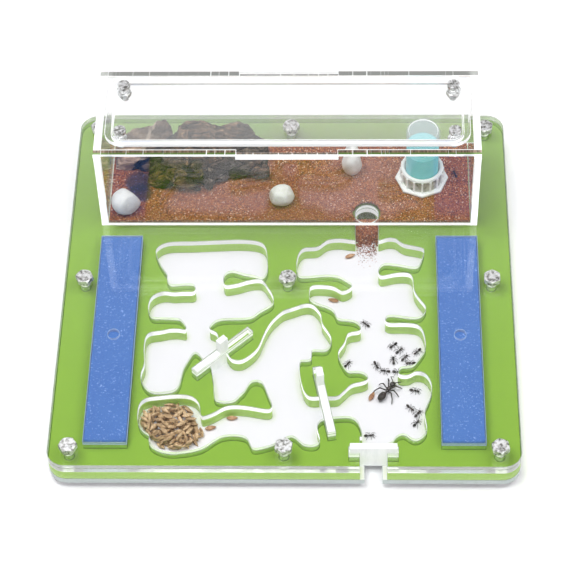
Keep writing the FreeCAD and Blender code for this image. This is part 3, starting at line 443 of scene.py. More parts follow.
ZINC = zinc()
FOAM = sponge_foam()
SAND = sand_material()
BARK = bark()
CUT_WOOD = cut_wood()
STONE = white_stone()
SEED = husk("seed_husk", (0.14, 0.078, 0.036), (0.42, 0.28, 0.145), (0.68, 0.5, 0.3))
PUPA = husk("pupa_case", (0.14, 0.05, 0.02), (0.33, 0.16, 0.075), (0.5, 0.31, 0.17))
SHELL = ant_shell()

# White moulded plastic that lets a little light in, with a faint painted white glow
TRAY = mottled(
    "tray_plastic", (220, 3.0), (0.82, 0.84, 0.83), (0.92, 0.93, 0.92), bump=0.05, Roughness=0.3,
    Subsurface_Weight=0.3, Subsurface_Radius=MILKY_RADIUS, glow=0.1)
# The tray's thin skin between its fins, painted in greys for the sand seen through it and for the shade between
# the fins
TRAY_RECESS = mottled(
    "tray_recess", (420, 3.0), (0.32, (0.2, 0.21, 0.17)), (0.46, (0.46, 0.45, 0.41)),
    (0.66, (0.66, 0.65, 0.61)), bump=0.05, Roughness=0.25)
# Thin clear plastic, slightly milky, and water tinted teal that glows with painted teal light
TUBE = mottled("tube_plastic", (120, 2.0), (0.72, 0.93, 0.92), (0.85, 0.97, 0.96), Roughness=0.06, Alpha=0.2)
WATER = Tree("teal_water").surface(
    Base_Color=(0.14, 0.55, 0.6), Roughness=0.05, IOR=WATER_IOR, Transmission_Weight=0.15,
    Emission_Color=(0.15, 0.6, 0.66), Emission_Strength=0.35, lets_through=(0.45, 0.8, 0.78))


# ---- Meshes ----

def in_scene(name, data):
    """A new object in the scene."""
    obj = bpy.data.objects.new(name, data)
    bpy.context.scene.collection.objects.link(obj)
    return obj


def as_shown(obj):
    """A new mesh of what obj's modifiers or curve make."""
    return bpy.data.meshes.new_from_object(obj.evaluated_get(bpy.context.evaluated_depsgraph_get()))


def piece(name, bm, material, smooth_angle=None):
    """A new object from a bmesh."""
    mesh = bpy.data.meshes.new(name)
    bm.to_mesh(mesh)
    bm.free()
    mesh.materials.append(material)
    if smooth_angle is not None:
        mesh.shade_smooth()
        mesh.set_sharp_from_angle(angle=math.radians(smooth_angle))
    return in_scene(name, mesh)


def stands_for(obj, node, body="habitat"):
    """obj rides on the body, in place of the CAD node where one is named."""
    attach(obj, body)
    if node:
        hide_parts(node)


def turned_out(bm, weld=0.0):
    """bm with its faces turned outwards, after corners within weld are made one."""
    if weld:
        bmesh.ops.remove_doubles(bm, verts=bm.verts, dist=weld)
    bmesh.ops.recalc_face_normals(bm, faces=bm.faces)
    return bm


def skin(bm, rings, closed=False):
    """Faces from each ring of corners to the next, and back to the first if closed."""
    for low, high in zip(rings, rings[1:] + rings[:closed]):
        for k in range(len(low)):
            n = (k + 1) % len(low)
            bm.faces.new((low[k], low[n], high[n], high[k]))


def turns(count, start=0.0):
    """So many even turns round a circle, in radians."""
    return [2 * math.pi * k / count + start for k in range(count)]


def around(centre, radius, turn, z):
    """A place on a circle about centre, at height z."""
    return Vector((centre.x + radius * math.cos(turn), centre.y + radius * math.sin(turn), z))


def welded(node):
    """A CAD node's mesh as a bmesh whose faces share their corners."""
    bm = bmesh.new()
    bm.from_mesh(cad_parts[node].data)
    bmesh.ops.remove_doubles(bm, verts=bm.verts, dist=1e-6)
    bm.normal_update()
    return bm


def drawn_in(bm, gap):
    """Moves every face of a closed mesh inwards by the gap."""
    moves = []
    for vertex in bm.verts:
        pull = Matrix.Diagonal((1e-4, 1e-4, 1e-4))
        push = Vector()
        for face in vertex.link_faces:
            weight = min(1.0, face.calc_area() / (0.05 * MM) ** 2)
            normal = face.normal
            pull += Matrix([[weight * normal[i] * normal[j] for j in range(3)] for i in range(3)])
            push -= weight * gap * normal
        moves.append(pull.inverted() @ push)
    for vertex, move in zip(bm.verts, moves):
        vertex.co += move


def with_air_gap(node, material):
    """A copy of a plain CAD solid with worn edges and an air gap to what it touches."""
    bm = welded(node)
    bmesh.ops.dissolve_limit(bm, angle_limit=math.radians(1), verts=bm.verts, edges=bm.edges)
    drawn_in(bm, AIR_GAP)
    bmesh.ops.bevel(bm, geom=list(bm.edges), offset=EDGE_RADIUS, segments=2, profile=0.5, affect="EDGES")
    return piece(node + "_worn", bm, material, 35.0)


def outlines(node, axis):
    """The closed outlines of a sheet, each a list of places, read on its upper face."""
    bm = welded(node)
    top = max(vertex.co[axis] for vertex in bm.verts)
    nexts = {}
    for edge in bm.edges:
        caps = [face for face in edge.link_faces if face.normal[axis] > 0.99]
        if len(caps) == 1 and all(abs(vertex.co[axis] - top) < 1e-5 for vertex in edge.verts):
            first, second = edge.verts
            nexts.setdefault(first, []).append(second)
            nexts.setdefault(second, []).append(first)
    loops = []
    while nexts:
        loop = [next(iter(nexts))]
        while True:
            onward = [vertex for vertex in nexts.pop(loop[-1]) if vertex in nexts and vertex not in loop[-2:]]
            if not onward:
                break
            loop.append(onward[0])
        loops.append([vertex.co.copy() for vertex in loop])
    bm.free()
    return loops


def cut_sheet(node, axis, finishes):
    """A sheet with softened edges, cut along the CAD node's outlines.

    The finishes are its materials from SKIN on. The caller uses those after UNDER.
    """
    low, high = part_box(node)
    across = [i for i in range(3) if i != axis]
    # With Y for its axis, the sheet lies in X and Z, and its height runs the other way
    hand = -1.0 if axis == 1 else 1.0
    middle = (low[axis] + high[axis]) / 2
    half = (high[axis] - low[axis]) / 2 - AIR_GAP
    curve = bpy.data.curves.new(node + "_outline", "CURVE")
    curve.dimensions = "2D"
    curve.fill_mode = "BOTH"
    curve.bevel_depth = EDGE_RADIUS
    curve.bevel_resolution = 1
    curve.extrude = half - EDGE_RADIUS
    curve.offset = -EDGE_RADIUS - AIR_GAP
    for loop in outlines(node, axis):
        spots = []
        for place in loop:
            if not spots or (place - spots[-1]).length > 0.12 * MM:
                spots.append(place)
        spline = curve.splines.new("POLY")
        spline.points.add(len(spots) - 1)
        spline.use_cyclic_u = True
        for point, place in zip(spline.points, spots):
            point.co = (place[across[0]], place[across[1]], 0.0, 1.0)
    shape = in_scene(node + "_outline", curve)
    mesh = as_shown(shape)
    bpy.data.objects.remove(shape)
    bpy.data.curves.remove(curve)
    bm = bmesh.new()
    bm.from_mesh(mesh)
    bpy.data.meshes.remove(mesh)
    bmesh.ops.remove_doubles(bm, verts=bm.verts, dist=1e-6)
    for vertex in bm.verts:
        u, v, w = vertex.co
        vertex.co[across[0]] = u
        vertex.co[across[1]] = v
        vertex.co[axis] = middle + hand * w
    bmesh.ops.dissolve_degenerate(bm, edges=bm.edges, dist=2e-6)
    bmesh.ops.recalc_face_normals(bm, faces=bm.faces)
    bm.faces.index_update()
    caps = set()
    for face in bm.faces:
        heights = [vertex.co[axis] for vertex in face.verts]
        if max(heights) - min(heights) < 1e-7:
            caps.add(face.index)
            if (heights[0] > middle) != (face.normal[axis] > 0):
                face.normal_flip()
    obj = piece(node + "_sheet", bm, finishes[SKIN], 30.0)
    for material in finishes[EDGE:]:
        obj.data.materials.append(material)
    for polygon in obj.data.polygons:
        low_half = polygon.center[axis] < middle
        if polygon.index in caps:
            polygon.use_smooth = False
            polygon.material_index = UNDER if low_half else SKIN
        elif abs(polygon.normal[axis]) > 0.1:
            polygon.material_index = LOW_LIP if low_half else LIP
        else:
            polygon.material_index = EDGE
    return obj


def remeshed(obj, size):
    """obj with an even skin of small faces."""
    modifier = obj.modifiers.new("remesh", "REMESH")
    modifier.mode = "VOXEL"
    modifier.voxel_size = size
    obj.data = as_shown(obj)
    obj.modifiers.clear()
    obj.data.shade_smooth()
    return obj


def tube(bm, points, radii):
    """A thin round limb through the points."""
    rings = []
    for i, (point, radius) in enumerate(zip(points, radii)):
        axis = (points[min(i + 1, len(points) - 1)] - points[max(i - 1, 0)]).normalized()
        side = axis.cross(Vector((0.13, 0.21, 0.97))).normalized()
        up = axis.cross(side)
        spokes = [math.cos(turn) * side + math.sin(turn) * up for turn in turns(6)]
        rings.append([bm.verts.new(point + radius * spoke) for spoke in spokes])
    skin(bm, rings)
    bm.faces.new(rings[0][::-1])
    bm.faces.new(rings[-1])


def blob(bm, centre, half, turn, segments, rings):
    """A rounded body about centre with three half sizes, turned about Z."""
    matrix = Matrix.Translation(centre) @ Matrix.Rotation(turn, 4, "Z") @ Matrix.Diagonal((*half, 1.0))
    made = bmesh.ops.create_uvsphere(bm, u_segments=segments, v_segments=rings, radius=1.0)
    for vertex in made["verts"]:
        vertex.co = matrix @ vertex.co
    return made["verts"]


# ---- Nest ----


def nest():
    """The sheets, fasteners, gates and sponges of the nest."""
    white = (WHITE, SHADED_WHITE_EDGE, SHADED_WHITE_EDGE, SHADED_WHITE_EDGE, WHITE)
    green = (GREEN, GREEN_EDGE, GREEN_EDGE, SEAM_SHADE, GREEN_BACKING)
    clear = (CLEAR, NEST_EDGE, NEST_LIP, NEST_LIP, CLEAR, OUTER_EDGE, SPONGE_LINE)
    sheets = {
        "base_plate": (white, "white_acrylic"), "gallery_plate_green": (green, "green_acrylic"),
        "gallery_plate_clear": (clear, "clear_acrylic"), "cover_plate": (clear, "clear_acrylic"),
    }
    for node, (finishes, slot) in sheets.items():
        sheet = cut_sheet(node, 2, finishes)
        # Edges beside the sponges take SPONGE_LINE, a painted blue reflection of the foam
        for polygon in sheet.data.polygons if finishes is clear else ():
            x, y = abs(polygon.center.x / MM), polygon.center.y / MM
            in_pocket = POCKET_X[0] < x < POCKET_X[1] and POCKET_Y[0] < y < POCKET_Y[1]
            if polygon.material_index == EDGE and max(x, abs(y)) > NEST_RIM:
                polygon.material_index = OTHER_EDGE
            elif EDGE <= polygon.material_index <= LOW_LIP and in_pocket:
                polygon.material_index = POCKET_EDGE
        stands_for(sheet, node)
    for node in ("nest_bolts", "nest_nuts", "lid_screws", "lid_nuts"):
        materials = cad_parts[node].data.materials
        materials.clear()
        materials.append(ZINC)
    for gate in ("left", "centre", "entrance"):
        stands_for(with_air_gap("gate_" + gate, GATE), "gate_" + gate, gate + "_gate")
    for node in ("sponge_left", "sponge_right"):
        stands_for(sponge(node), node)


def sponge(node):
    """A cut strip of foam, its skin slightly uneven."""
    low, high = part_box(node)
    size = high - low
    bm = bmesh.new()
    bmesh.ops.create_cube(bm, size=1.0)
    for vertex in bm.verts:
        vertex.co = Vector([low[i] + (vertex.co[i] + 0.5) * size[i] for i in range(3)])
    obj = remeshed(piece(node + "_foam", bm, FOAM), 1.0 * MM)
    centre = (low + high) / 2
    for vertex in obj.data.vertices:
        inward = (centre - vertex.co).normalized()
        wave = noise.fractal(vertex.co * 180, 0.6, 2.0, 3)
        vertex.co += inward * (0.12 + 0.1 * wave) * MM
    return obj


# ---- Foraging box ----

def foraging_box():
    """Walls, frame and lid."""
    plain, long_wall = (CLEAR, NEST_EDGE, EDGE_LINE), (CLEAR, WALL_TOP, DIM_LINE)
    lid, plug = (GLOWING_LID_ACRYLIC, NEST_EDGE, EDGE_LINE), (GLOWING_LID_ACRYLIC, PLUG_EDGE, EDGE_LINE)
    sheets = {
        "box_front_wall": (1, long_wall), "box_back_wall": (1, long_wall), "box_left_wall": (0, plain),
        "box_right_wall": (0, plain), "box_top_frame": (2, plain), "lid_plate": (2, lid), "lid_plug": (2, plug),
    }
    for node, (axis, finishes) in sheets.items():
        sheet = cut_sheet(node, axis, (*finishes, EDGE_LINE, finishes[SKIN], NEST_EDGE))
        # Only the upward edges of the long walls carry the painted brown and green reflection
        for polygon in sheet.data.polygons if axis == 1 else ():
            if polygon.normal.z < 0.5 and EDGE <= polygon.material_index <= LOW_LIP:
                polygon.material_index = OTHER_EDGE
        stands_for(sheet, node, "lid" if node.startswith("lid") else "habitat")


def sand_top(x, y):
    """How far the sand rises above its mean level at a place, in metres."""
    place = Vector((x, y, 0.0))
    low = noise.noise(place * 45) * 0.35
    grain = noise.noise(place * 900) * 0.28
    return (low + grain) * MM


def sand_grid(node, step, height, skirt, laid=lambda share: True):
    """Sand as an even grid over the CAD node, its skirt ending just above the floor.

    height(x, y) is the level, or None where it is open. laid(share) keeps or drops a
    cell, by its share of the way back.
    """
    low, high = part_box(node)
    columns = round((high.x - low.x) / step)
    rows = round((high.y - low.y) / step)
    bm = bmesh.new()
    grid = {}
    for i in range(columns + 1):
        for j in range(rows + 1):
            x = low.x + (high.x - low.x) * i / columns
            y = low.y + (high.y - low.y) * j / rows
            z = height(x, y)
            if z is not None:
                grid[i, j] = bm.verts.new((x, y, z))
    for i in range(columns):
        for j in range(rows):
            corners = [grid.get(key) for key in ((i, j), (i + 1, j), (i + 1, j + 1), (i, j + 1))]
            if all(corners) and laid(j / rows):
                bm.faces.new(corners)
    rim = [edge for edge in bm.edges if edge.is_boundary]
    for vertex in bmesh.ops.extrude_edge_only(bm, edges=rim)["geom"]:
        if isinstance(vertex, bmesh.types.BMVert):
            vertex.co.z = low.z + skirt
    stands_for(piece(node + "_grains", turned_out(bm), SAND, 40.0), node)


def sand_bed():
    """The sand in the box, open round the passage hole and dipping towards it."""
    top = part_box("sand_bed")[1].z
    hole_low, hole_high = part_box("tunnel_sand")
    hole_x = (hole_low.x + hole_high.x) / 2

    def height(x, y):
        ragged = noise.noise(Vector((x, y, 0)) * 600) * 0.5 * MM
        away = math.hypot(x - hole_x, y - hole_high.y) - 5.9 * MM - ragged
        if away < 0:
            return None
        dip = max(0.0, 1.0 - away / (1.5 * MM)) * MM
        return min(top - 0.5 * MM + sand_top(x, y) - dip, top + 0.2 * MM)

    sand_grid("sand_bed", 0.55 * MM, height, 0.03 * MM)


def tunnel_sand():
    """The sand that has run down through the passage hole, thinning out towards the nest."""
    low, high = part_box("tunnel_sand")
    chance = random.Random(2)

    def height(x, y):
        slope = (y - low.y) / (high.y - low.y)
        ragged = noise.noise(Vector((x, y, 0)) * 350) * 0.8
        return min(low.z + max(0.05, 0.3 + ragged * (1 - slope) + slope * 6.0) * MM, high.z)

    sand_grid(
        "tunnel_sand", 0.4 * MM, height, 0.01 * MM, lambda share: chance.random() < 0.3 + 1.5 * share ** 1.2)


def loose_grains():
    """Single grains: on the sand, and scattered where the tunnel meets the nest."""
    chance = random.Random(5)
    bm = bmesh.new()

    def grain(x, y, z, size):
        matrix = Matrix.Translation((x, y, z)) @ Matrix.Rotation(chance.uniform(0, 6), 4, "Z")
        matrix @= Matrix.Diagonal((size, size * chance.uniform(0.6, 1.0), size * chance.uniform(0.6, 0.9), 1.0))
        made = bmesh.ops.create_icosphere(bm, subdivisions=1, radius=1.0, matrix=matrix)
        for vertex in made["verts"]:
            vertex.co += Vector([chance.uniform(-1, 1) for _ in range(3)]) * size * 0.2

    low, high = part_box("sand_bed")
    hole_low, hole_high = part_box("tunnel_sand")
    hole_x = (hole_low.x + hole_high.x) / 2
    for _ in range(1500):
        x = chance.uniform(low.x + MM, high.x - MM)
        y = chance.uniform(low.y + MM, high.y - MM)
        if math.hypot(x - hole_x, y - hole_high.y) > 8 * MM:
            grain(x, y, high.z - 0.45 * MM + sand_top(x, y), chance.uniform(0.18, 0.34) * MM)
    for _ in range(420):
        reach = abs(chance.gauss(0, 1.0))
        x = hole_x + chance.uniform(-4.6, 4.6) * MM
        y = hole_low.y + 3.5 * MM - reach * 5.5 * MM
        size = chance.uniform(0.14, 0.28) * MM
        grain(x, y, hole_low.z + size, size)
    stands_for(piece("loose_grains", bm, SAND), None)


def weathered(node, material, voxel, carve, knobs=()):
    """A CAD solid with an organic skin: an even mesh pushed about by carve(place).

    Knobs, each a centre, half sizes and a turn in degrees, grow out of it.
    """
    bm = welded(node)
    for centre, half, turn in knobs:
        blob(bm, Vector(centre) * MM, Vector(half) * MM, math.radians(turn), 24, 16)
    obj = remeshed(piece(node + "_skin", bm, material), voxel)
    low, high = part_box(node)
    normals = [vertex.normal.copy() for vertex in obj.data.vertices]
    for vertex, normal in zip(obj.data.vertices, normals):
        place = vertex.co + normal * carve(vertex.co) * MM
        vertex.co = Vector([min(max(place[i], low[i]), high[i]) for i in range(3)])
    obj.data.update()
    return obj


def bark_height(place):
    """Broken plates in terraces, with deep cracks between them, in millimetres."""
    along = Vector((place.x * 0.5, place.y, place.z))
    layers = 3.2 * noise.noise(along * 125 + Vector((7.0, 3.0, 1.0)))
    terrace = math.floor(layers) + (layers - math.floor(layers)) ** 5
    crack = max(0.0, 1.0 - abs(noise.noise(along * 190)) / 0.1)
    swell = noise.fractal(place * 80, 0.7, 2.0, 3)
    return -0.9 + swell + 0.8 * terrace - 1.3 * crack + 0.3 * noise.noise(along * 900)


def wood_height(place):
    """Softer lumps, shallow steps and cracks, in millimetres."""
    along = Vector((place.x * 0.6, place.y, place.z))
    layers = 2.4 * noise.noise(along * 150)
    terrace = math.floor(layers) + (layers - math.floor(layers)) ** 5
    return -0.3 + 0.5 * terrace + 0.5 * noise.fractal(along * 120, 0.7, 2.0, 3) + 0.2 * noise.noise(along * 700)


def stone_height(place):
    """Slight waves, in millimetres."""
    return -0.15 + 0.4 * noise.noise(place * 150) + 0.1 * noise.noise(place * 600)


def facetted(obj, node, facets):
    """Presses obj flat beyond each facet: (turn, rise, share of the half size it lies at)."""
    low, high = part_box(node)
    centre = (low + high) / 2
    half = (high - low) / 2
    for vertex in obj.data.vertices:
        spot = Vector([(vertex.co[i] - centre[i]) / half[i] for i in range(3)])
        for turn, rise, share in facets:
            turn, rise = math.radians(turn), math.radians(rise)
            facing = Vector((math.cos(turn) * math.cos(rise), math.sin(turn) * math.cos(rise), math.sin(rise)))
            over = spot.dot(facing) - share
            if over > 0:
                spot -= 0.66 * over * facing
        vertex.co = Vector([centre[i] + spot[i] * half[i] for i in range(3)])
    obj.data.update()
    return obj


def decoration():
    """Driftwood and pebbles."""
    woods = {
        "driftwood_large": (BARK, 0.45 * MM, bark_height, [
            ((-59.0, 56.5, 19.5), (7.0, 5.5, 5.5), 10), ((-51.0, 54.0, 26.0), (7.5, 5.0, 6.0), -15),
            ((-46.5, 53.0, 22.0), (6.5, 2.6, 3.6), -35), ((-42.0, 55.0, 28.0), (4.5, 3.5, 4.0), 20),
            ((-12.5, 60.5, 21.0), (6.5, 4.0, 5.0), 8)]),
        "driftwood_small": (CUT_WOOD, 0.4 * MM, wood_height, [
            ((-67.0, 62.5, 22.0), (6.5, 2.6, 4.6), 20), ((-60.5, 75.5, 32.0), (4.0, 3.4, 5.4), 0)]),
    }
    for node, looks in woods.items():
        stands_for(weathered(node, *looks), node)
    stones = {
        "pebble_left": [(50, 15, 0.5), (-48, 10, 0.55)],
        "pebble_centre": [(20 + 60 * k, 12, 0.84) for k in range(6)] + [(0, 90, 0.85)],
        "pebble_back": [(180, 35, 0.6), (5, 25, 0.66), (-90, 50, 0.82)],
    }
    for node, facets in stones.items():
        stone = facetted(weathered(node, STONE, 0.45 * MM, stone_height), node, facets)
        stands_for(stone, node)


# ---- Drinker ----

def lathe(name, profile, centre, material, segments=64):
    """A turned body: the profile is (radius, height) pairs, closed on itself."""
    bm = bmesh.new()
    rings = [[bm.verts.new(around(centre, radius, turn, z)) for turn in turns(segments)] for radius, z in profile]
    skin(bm, rings, closed=True)
    return piece(name, turned_out(bm, 1e-7), material, 35.0)


def feeder_tray():
    """The tray: a pointed rim, a round collar, and fins that slope from one to the other."""
    low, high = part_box("feeder_tray")
    tube_low, tube_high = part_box("feeder_reservoir")
    centre = (low + high) / 2
    rim_r = (high.x - low.x) / 2
    socket_r = (tube_high.x - tube_low.x) / 2 + 0.3 * MM
    collar_r = socket_r + 1.6 * MM
    wall_r = socket_r + 0.9 * MM
    front = -math.pi / 2
    points, fins = 8, 16
    half = math.pi / points
    rim = turns(8 * points, front)
    bm = bmesh.new()
    rings = []
    for inset, z in ((0.0, 0.05), (0.0, 0.85), (-0.25, 1.1), (-1.0, 1.15), (-1.3, 0.8)):
        ring = []
        for turn in rim:
            radius = rim_r * math.cos(half) / math.cos((turn - front) % (2 * half) - half) + inset * MM
            ring.append(bm.verts.new(around(centre, radius, turn, low.z + z * MM)))
        rings.append(ring)
    for z in (0.8, 0.05):
        rings.append([bm.verts.new(around(centre, socket_r - 0.4 * MM, turn, low.z + z * MM)) for turn in rim])
    skin(bm, rings, closed=True)
    edge = [
        (collar_r - 0.8 * MM, low.z + 0.7 * MM), (rim_r - 2.0 * MM, low.z + 0.7 * MM),
        (rim_r - 1.9 * MM, low.z + 1.5 * MM), (rim_r - 2.3 * MM, low.z + 2.4 * MM),
        (collar_r + 0.5 * MM, high.z - 1.3 * MM), (collar_r - 0.8 * MM, high.z - 1.0 * MM),
    ]
    for turn in turns(fins, front):
        out = Vector((math.cos(turn), math.sin(turn), 0))
        side = Vector((-out.y, out.x, 0)) * 0.42 * MM
        left, right = [
            [bm.verts.new(Vector((centre.x, centre.y, z)) + out * r + shift) for r, z in edge]
            for shift in (-side, side)]
        bm.faces.new(left)
        bm.faces.new(right[::-1])
        skin(bm, [left, right])
    stands_for(piece("feeder_tray_rim", turned_out(bm), TRAY, 30.0), "feeder_tray")
    collar = [
        (socket_r, low.z + 0.6 * MM), (wall_r, low.z + 0.6 * MM), (wall_r, high.z - 2.0 * MM),
        (collar_r - 0.2 * MM, high.z - 1.6 * MM), (collar_r + 0.1 * MM, high.z - 0.6 * MM),
        (collar_r - 0.3 * MM, high.z), (socket_r + 0.3 * MM, high.z), (socket_r, high.z - 0.3 * MM),
    ]
    recess = [
        (wall_r, low.z + 0.8 * MM), (rim_r - 2.9 * MM, low.z + 0.8 * MM),
        (wall_r + 0.6 * MM, high.z - 2.0 * MM), (wall_r, high.z - 2.0 * MM),
    ]
    for name, profile, material in (("collar", collar, TRAY), ("recess", recess, TRAY_RECESS)):
        stands_for(lathe("feeder_tray_" + name, profile, centre, material), None)


def drinker():
    """The tray, the clear reservoir and its water."""
    feeder_tray()
    low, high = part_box("feeder_reservoir")
    centre = (low + high) / 2
    radius = (high.x - low.x) / 2
    wall = 0.6 * MM
    profile = [
        (radius - wall, low.z), (radius, low.z), (radius, high.z - 1.0 * MM),
        (radius - 0.3 * MM, high.z - 0.3 * MM), (radius - 1.0 * MM, high.z),
        (radius - 1.3 * MM, high.z - 0.5 * MM), (0, high.z - 0.5 * MM),
        (0, high.z - wall - 0.3 * MM), (radius - wall, high.z - wall - 0.6 * MM),
    ]
    reservoir = lathe("feeder_reservoir_tube", profile, centre, TUBE, 96)
    # The tube's lip takes a painted white highlight line
    reservoir.data.materials.append(EDGE_LINE)
    for polygon in reservoir.data.polygons:
        from_lip = (polygon.center.xy - centre.xy).length - radius + 1.0 * MM
        if polygon.center.z > high.z - 0.9 * MM and abs(from_lip) < 0.3 * MM:
            polygon.material_index = 1
    stands_for(reservoir, "feeder_reservoir", "water_reservoir")
    low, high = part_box("feeder_liquid")
    radius += 0.2 * MM - wall
    profile = [
        (0, low.z), (radius, low.z), (radius, high.z), (radius - 0.5 * MM, high.z - 0.35 * MM),
        (radius - 1.4 * MM, high.z - 0.5 * MM), (0, high.z - 0.5 * MM),
    ]
    liquid = lathe("feeder_liquid_fill", profile, centre, WATER, 96)
    stands_for(liquid, "feeder_liquid", "water_reservoir")


# ---- Seeds and ants ----

def seed(bm, centre, length, turn, tilt, roll, thickness):
    """One oat-like grain: pointed at both ends, flattened, with a crease along it."""
    matrix = Matrix.Translation(centre) @ Matrix.Rotation(turn, 4, "Z")
    matrix @= Matrix.Rotation(tilt, 4, "Y") @ Matrix.Rotation(roll, 4, "X")
    rings = []
    for i in range(9):
        share = i / 8
        radius = thickness * length * math.sin(math.pi * share) ** 0.75 * (1.1 - 0.25 * share)
        ring = []
        for k, angle in enumerate(turns(8)):
            crease = 0.72 if k == 2 else 1.0
            height = 0.8 * radius * math.sin(angle) * crease
            spot = Vector(((share - 0.5) * length, radius * math.cos(angle), height))
            ring.append(bm.verts.new(matrix @ spot))
        rings.append(ring)
    skin(bm, rings)


def seed_heap():
    """The store of seeds, heaped in layers inside the mound's outline."""
    low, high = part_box("seed_heap")
    bm = welded("seed_heap")
    mound = BVHTree.FromBMesh(bm)
    bm.free()
    chance = random.Random(11)

    def height(x, y):
        hit = mound.ray_cast(Vector((x, y, high.z + MM)), Vector((0, 0, -1)))[0]
        return None if hit is None else hit.z - low.z

    bm = bmesh.new()
    for layer, level in enumerate((0.9 * MM, 1.7 * MM, 3.0 * MM, 4.3 * MM)):
        placed = []
        for _ in range(4000):
            x = chance.uniform(low.x, high.x)
            y = chance.uniform(low.y, high.y)
            drift = noise.noise(Vector((90 * x, 90 * y, 3.7 * layer)))
            turn = 1.1 * layer + 4.5 * drift + chance.uniform(-0.25, 0.25)
            along = Vector((math.cos(turn), math.sin(turn)))
            gaps = [Vector((x - px, y - py)) for px, py in placed]
            if any(math.hypot(gap.dot(along) / 4.3, gap.cross(along) / 1.9) < MM for gap in gaps):
                continue
            ends = [height(x + share * MM * along.x, y + share * MM * along.y) for share in (-2.0, 0.0, 2.0)]
            if any(end is None for end in ends) or (layer and ends[1] < level + 0.2 * MM):
                continue
            placed.append((x, y))
            seed(bm, Vector((x, y, low.z + level)), chance.uniform(4.6, 5.3) * MM, turn,
                 chance.uniform(-0.12, 0.12), chance.uniform(0, 6), 0.195)
    stands_for(piece("seed_heap_grains", turned_out(bm, 1e-7), SEED, 50.0), "seed_heap")


def islands(node):
    """The centre of each separate solid of a CAD node, and how it is turned about Z."""
    bm = welded(node)
    # A dict keeps the corners' order, so that each run finds the solids in the same one
    left = dict.fromkeys(bm.verts)
    found = []
    while left:
        group = [left.popitem()[0]]
        stack = group[:]
        while stack:
            for edge in stack.pop().link_edges:
                for vertex in edge.verts:
                    if vertex in left:
                        del left[vertex]
                        group.append(vertex)
                        stack.append(vertex)
        middle = sum((v.co for v in group), Vector()) / len(group)
        tip = max(group, key=lambda v: (v.co - middle).length).co - middle
        found.append((middle, math.atan2(tip.y, tip.x)))
    bm.free()
    return found


def loose_seeds():
    """Seeds and pupae dropped in the galleries."""
    bm = bmesh.new()
    for middle, turn in islands("loose_seeds"):
        seed(bm, middle, 5.2 * MM, turn, 0.0, 0.3, 0.2)
    stands_for(piece("loose_seed_grains", turned_out(bm, 1e-7), PUPA, 50.0), "loose_seeds")


def ant(bm, place, turn, length, chance):
    """One ant: gaster, waist, middle, head, six jointed legs and two bent feelers."""
    matrix = Matrix.Translation(place) @ Matrix.Rotation(turn, 4, "Z") @ Matrix.Scale(length, 4)
    parts = [
        ((-0.29, 0, 0.16), (0.2, 0.125, 0.12)), ((-0.06, 0, 0.13), (0.035, 0.03, 0.05)),
        ((0.02, 0, 0.14), (0.07, 0.055, 0.055)), ((0.12, 0, 0.16), (0.1, 0.07, 0.07)),
        ((0.235, 0, 0.155), (0.03, 0.03, 0.03)), ((0.34, 0, 0.15), (0.11, 0.1, 0.075)),
        ((0.44, 0, 0.125), (0.035, 0.06, 0.02)),
    ]
    for centre, half in parts:
        for vertex in blob(bm, Vector(centre), half, 0.0, 14, 9):
            vertex.co = matrix @ vertex.co
    for side in (-1, 1):
        for root, reach, spread in ((0.16, 0.34, 0.3), (0.09, 0.05, 0.42), (0.02, -0.36, 0.4)):
            sway = chance.uniform(-0.06, 0.06)
            knee = Vector((root + reach * 0.4 + sway, side * spread * 0.55, 0.27))
            foot = Vector((root + reach + sway, side * spread, 0.012))
            shin = (knee + foot) / 2 + Vector((0, side * 0.03, 0.0))
            limb = [Vector((root, side * 0.05, 0.13)), knee, shin, foot]
            tube(bm, [matrix @ p for p in limb], [r * length for r in (0.022, 0.027, 0.02, 0.013)])
        bend = Vector((0.52, side * 0.2, 0.22))
        tip = Vector((0.68 + chance.uniform(-0.04, 0.04), side * 0.16, 0.1))
        feeler = [Vector((0.42, side * 0.04, 0.18)), bend, tip]
        tube(bm, [matrix @ p for p in feeler], [r * length for r in (0.016, 0.016, 0.012)])


def colony():
    """The queen, the workers and one forager on the sand."""
    chance = random.Random(3)
    bm = bmesh.new()
    ant(bm, Vector((76.3, 62.0, 0.0)) * MM + Vector((0, 0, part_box("sand_bed")[1].z)), 1.9, 4.6 * MM, chance)
    stands_for(piece("forager_ant", turned_out(bm), SHELL, 60.0), None)
    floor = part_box("seed_heap")[0].z
    for node, length in (("queen_ant", 12.7), ("worker_ants", 4.6)):
        bm = bmesh.new()
        for middle, turn in islands(node):
            ant(bm, Vector((middle.x, middle.y, floor)), turn, length * MM, chance)
        stands_for(piece(node + "_body", turned_out(bm), SHELL, 60.0), node)


# ---- Studio ----

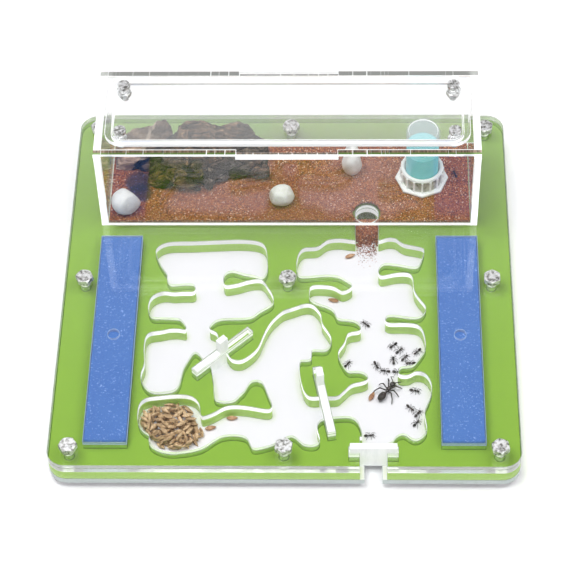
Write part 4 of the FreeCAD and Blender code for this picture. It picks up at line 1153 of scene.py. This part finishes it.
def camera():
    """The camera, at the photograph's place and angle."""
    elevation, azimuth, roll = map(math.radians, (CAMERA_ELEVATION, CAMERA_AZIMUTH, CAMERA_ROLL))
    turn = Matrix.Rotation(azimuth, 4, "Z") @ Matrix.Rotation(math.pi / 2 - elevation, 4, "X")
    data = bpy.data.cameras.new("camera")
    data.sensor_width = SENSOR_WIDTH
    data.lens = SENSOR_WIDTH * CAMERA_FOCAL / IMAGE_WIDTH
    data.clip_start = 0.01
    data.clip_end = 50.0
    obj = in_scene("camera", data)
    obj.matrix_world = Matrix.Translation(Vector(CAMERA_PLACE) * MM) @ turn @ Matrix.Rotation(roll, 4, "Z")
    bpy.context.scene.camera = obj


def soft_light(name, place, size, power):
    """One rectangular softbox, aimed at the habitat's middle."""
    data = bpy.data.lights.new(name, "AREA")
    data.shape = "RECTANGLE"
    data.size, data.size_y = size
    data.energy = power
    obj = in_scene(name, data)
    obj.location = place
    obj.rotation_euler = (-Vector(place)).to_track_quat("-Z", "Y").to_euler()


def studio():
    """A pale floor, white surroundings that darken overhead, and two softboxes."""
    bm = bmesh.new()
    bmesh.ops.create_grid(bm, x_segments=1, y_segments=1, size=4.0)
    floor = piece("studio_floor", bm, floor_material())
    floor.location.z = -0.05 * MM

    world = bpy.data.worlds.new("studio")
    bpy.context.scene.world = world
    tree = Tree(world, "OutputWorld")
    height = tree.add("SeparateXYZ", Vector=tree.add("TexCoord").outputs["Generated"]).outputs["Z"]
    levels = ((0.0, 0.45), (0.3, 1.0), (0.735, 0.85), (0.765, 0.46), (0.8, 0.25), (0.83, 0.16))
    sky = tree.ramp(height, *((position, (level, level, 1.02 * level)) for position, level in levels))
    path = tree.add("LightPath")
    seen = tree.math("MAXIMUM", path.outputs["Is Glossy Ray"], path.outputs["Is Transmission Ray"])
    background = tree.add("Background", Color=sky, Strength=tree.math("MULTIPLY_ADD", seen, 0.65, 0.35))
    tree.links.new(background.outputs[0], tree.output.inputs["Surface"])

    soft_light("key", (-0.3, -0.08, 1.25), (0.8, 0.6), 11.6)
    soft_light("fill", (0.45, -0.15, 1.1), (0.7, 0.5), 5.1)
    bpy.context.scene.view_settings.view_transform = "Standard"


# ---- Scene ----

camera()
studio()
nest()
foraging_box()
sand_bed()
tunnel_sand()
loose_grains()
decoration()
drinker()
seed_heap()
loose_seeds()
colony()
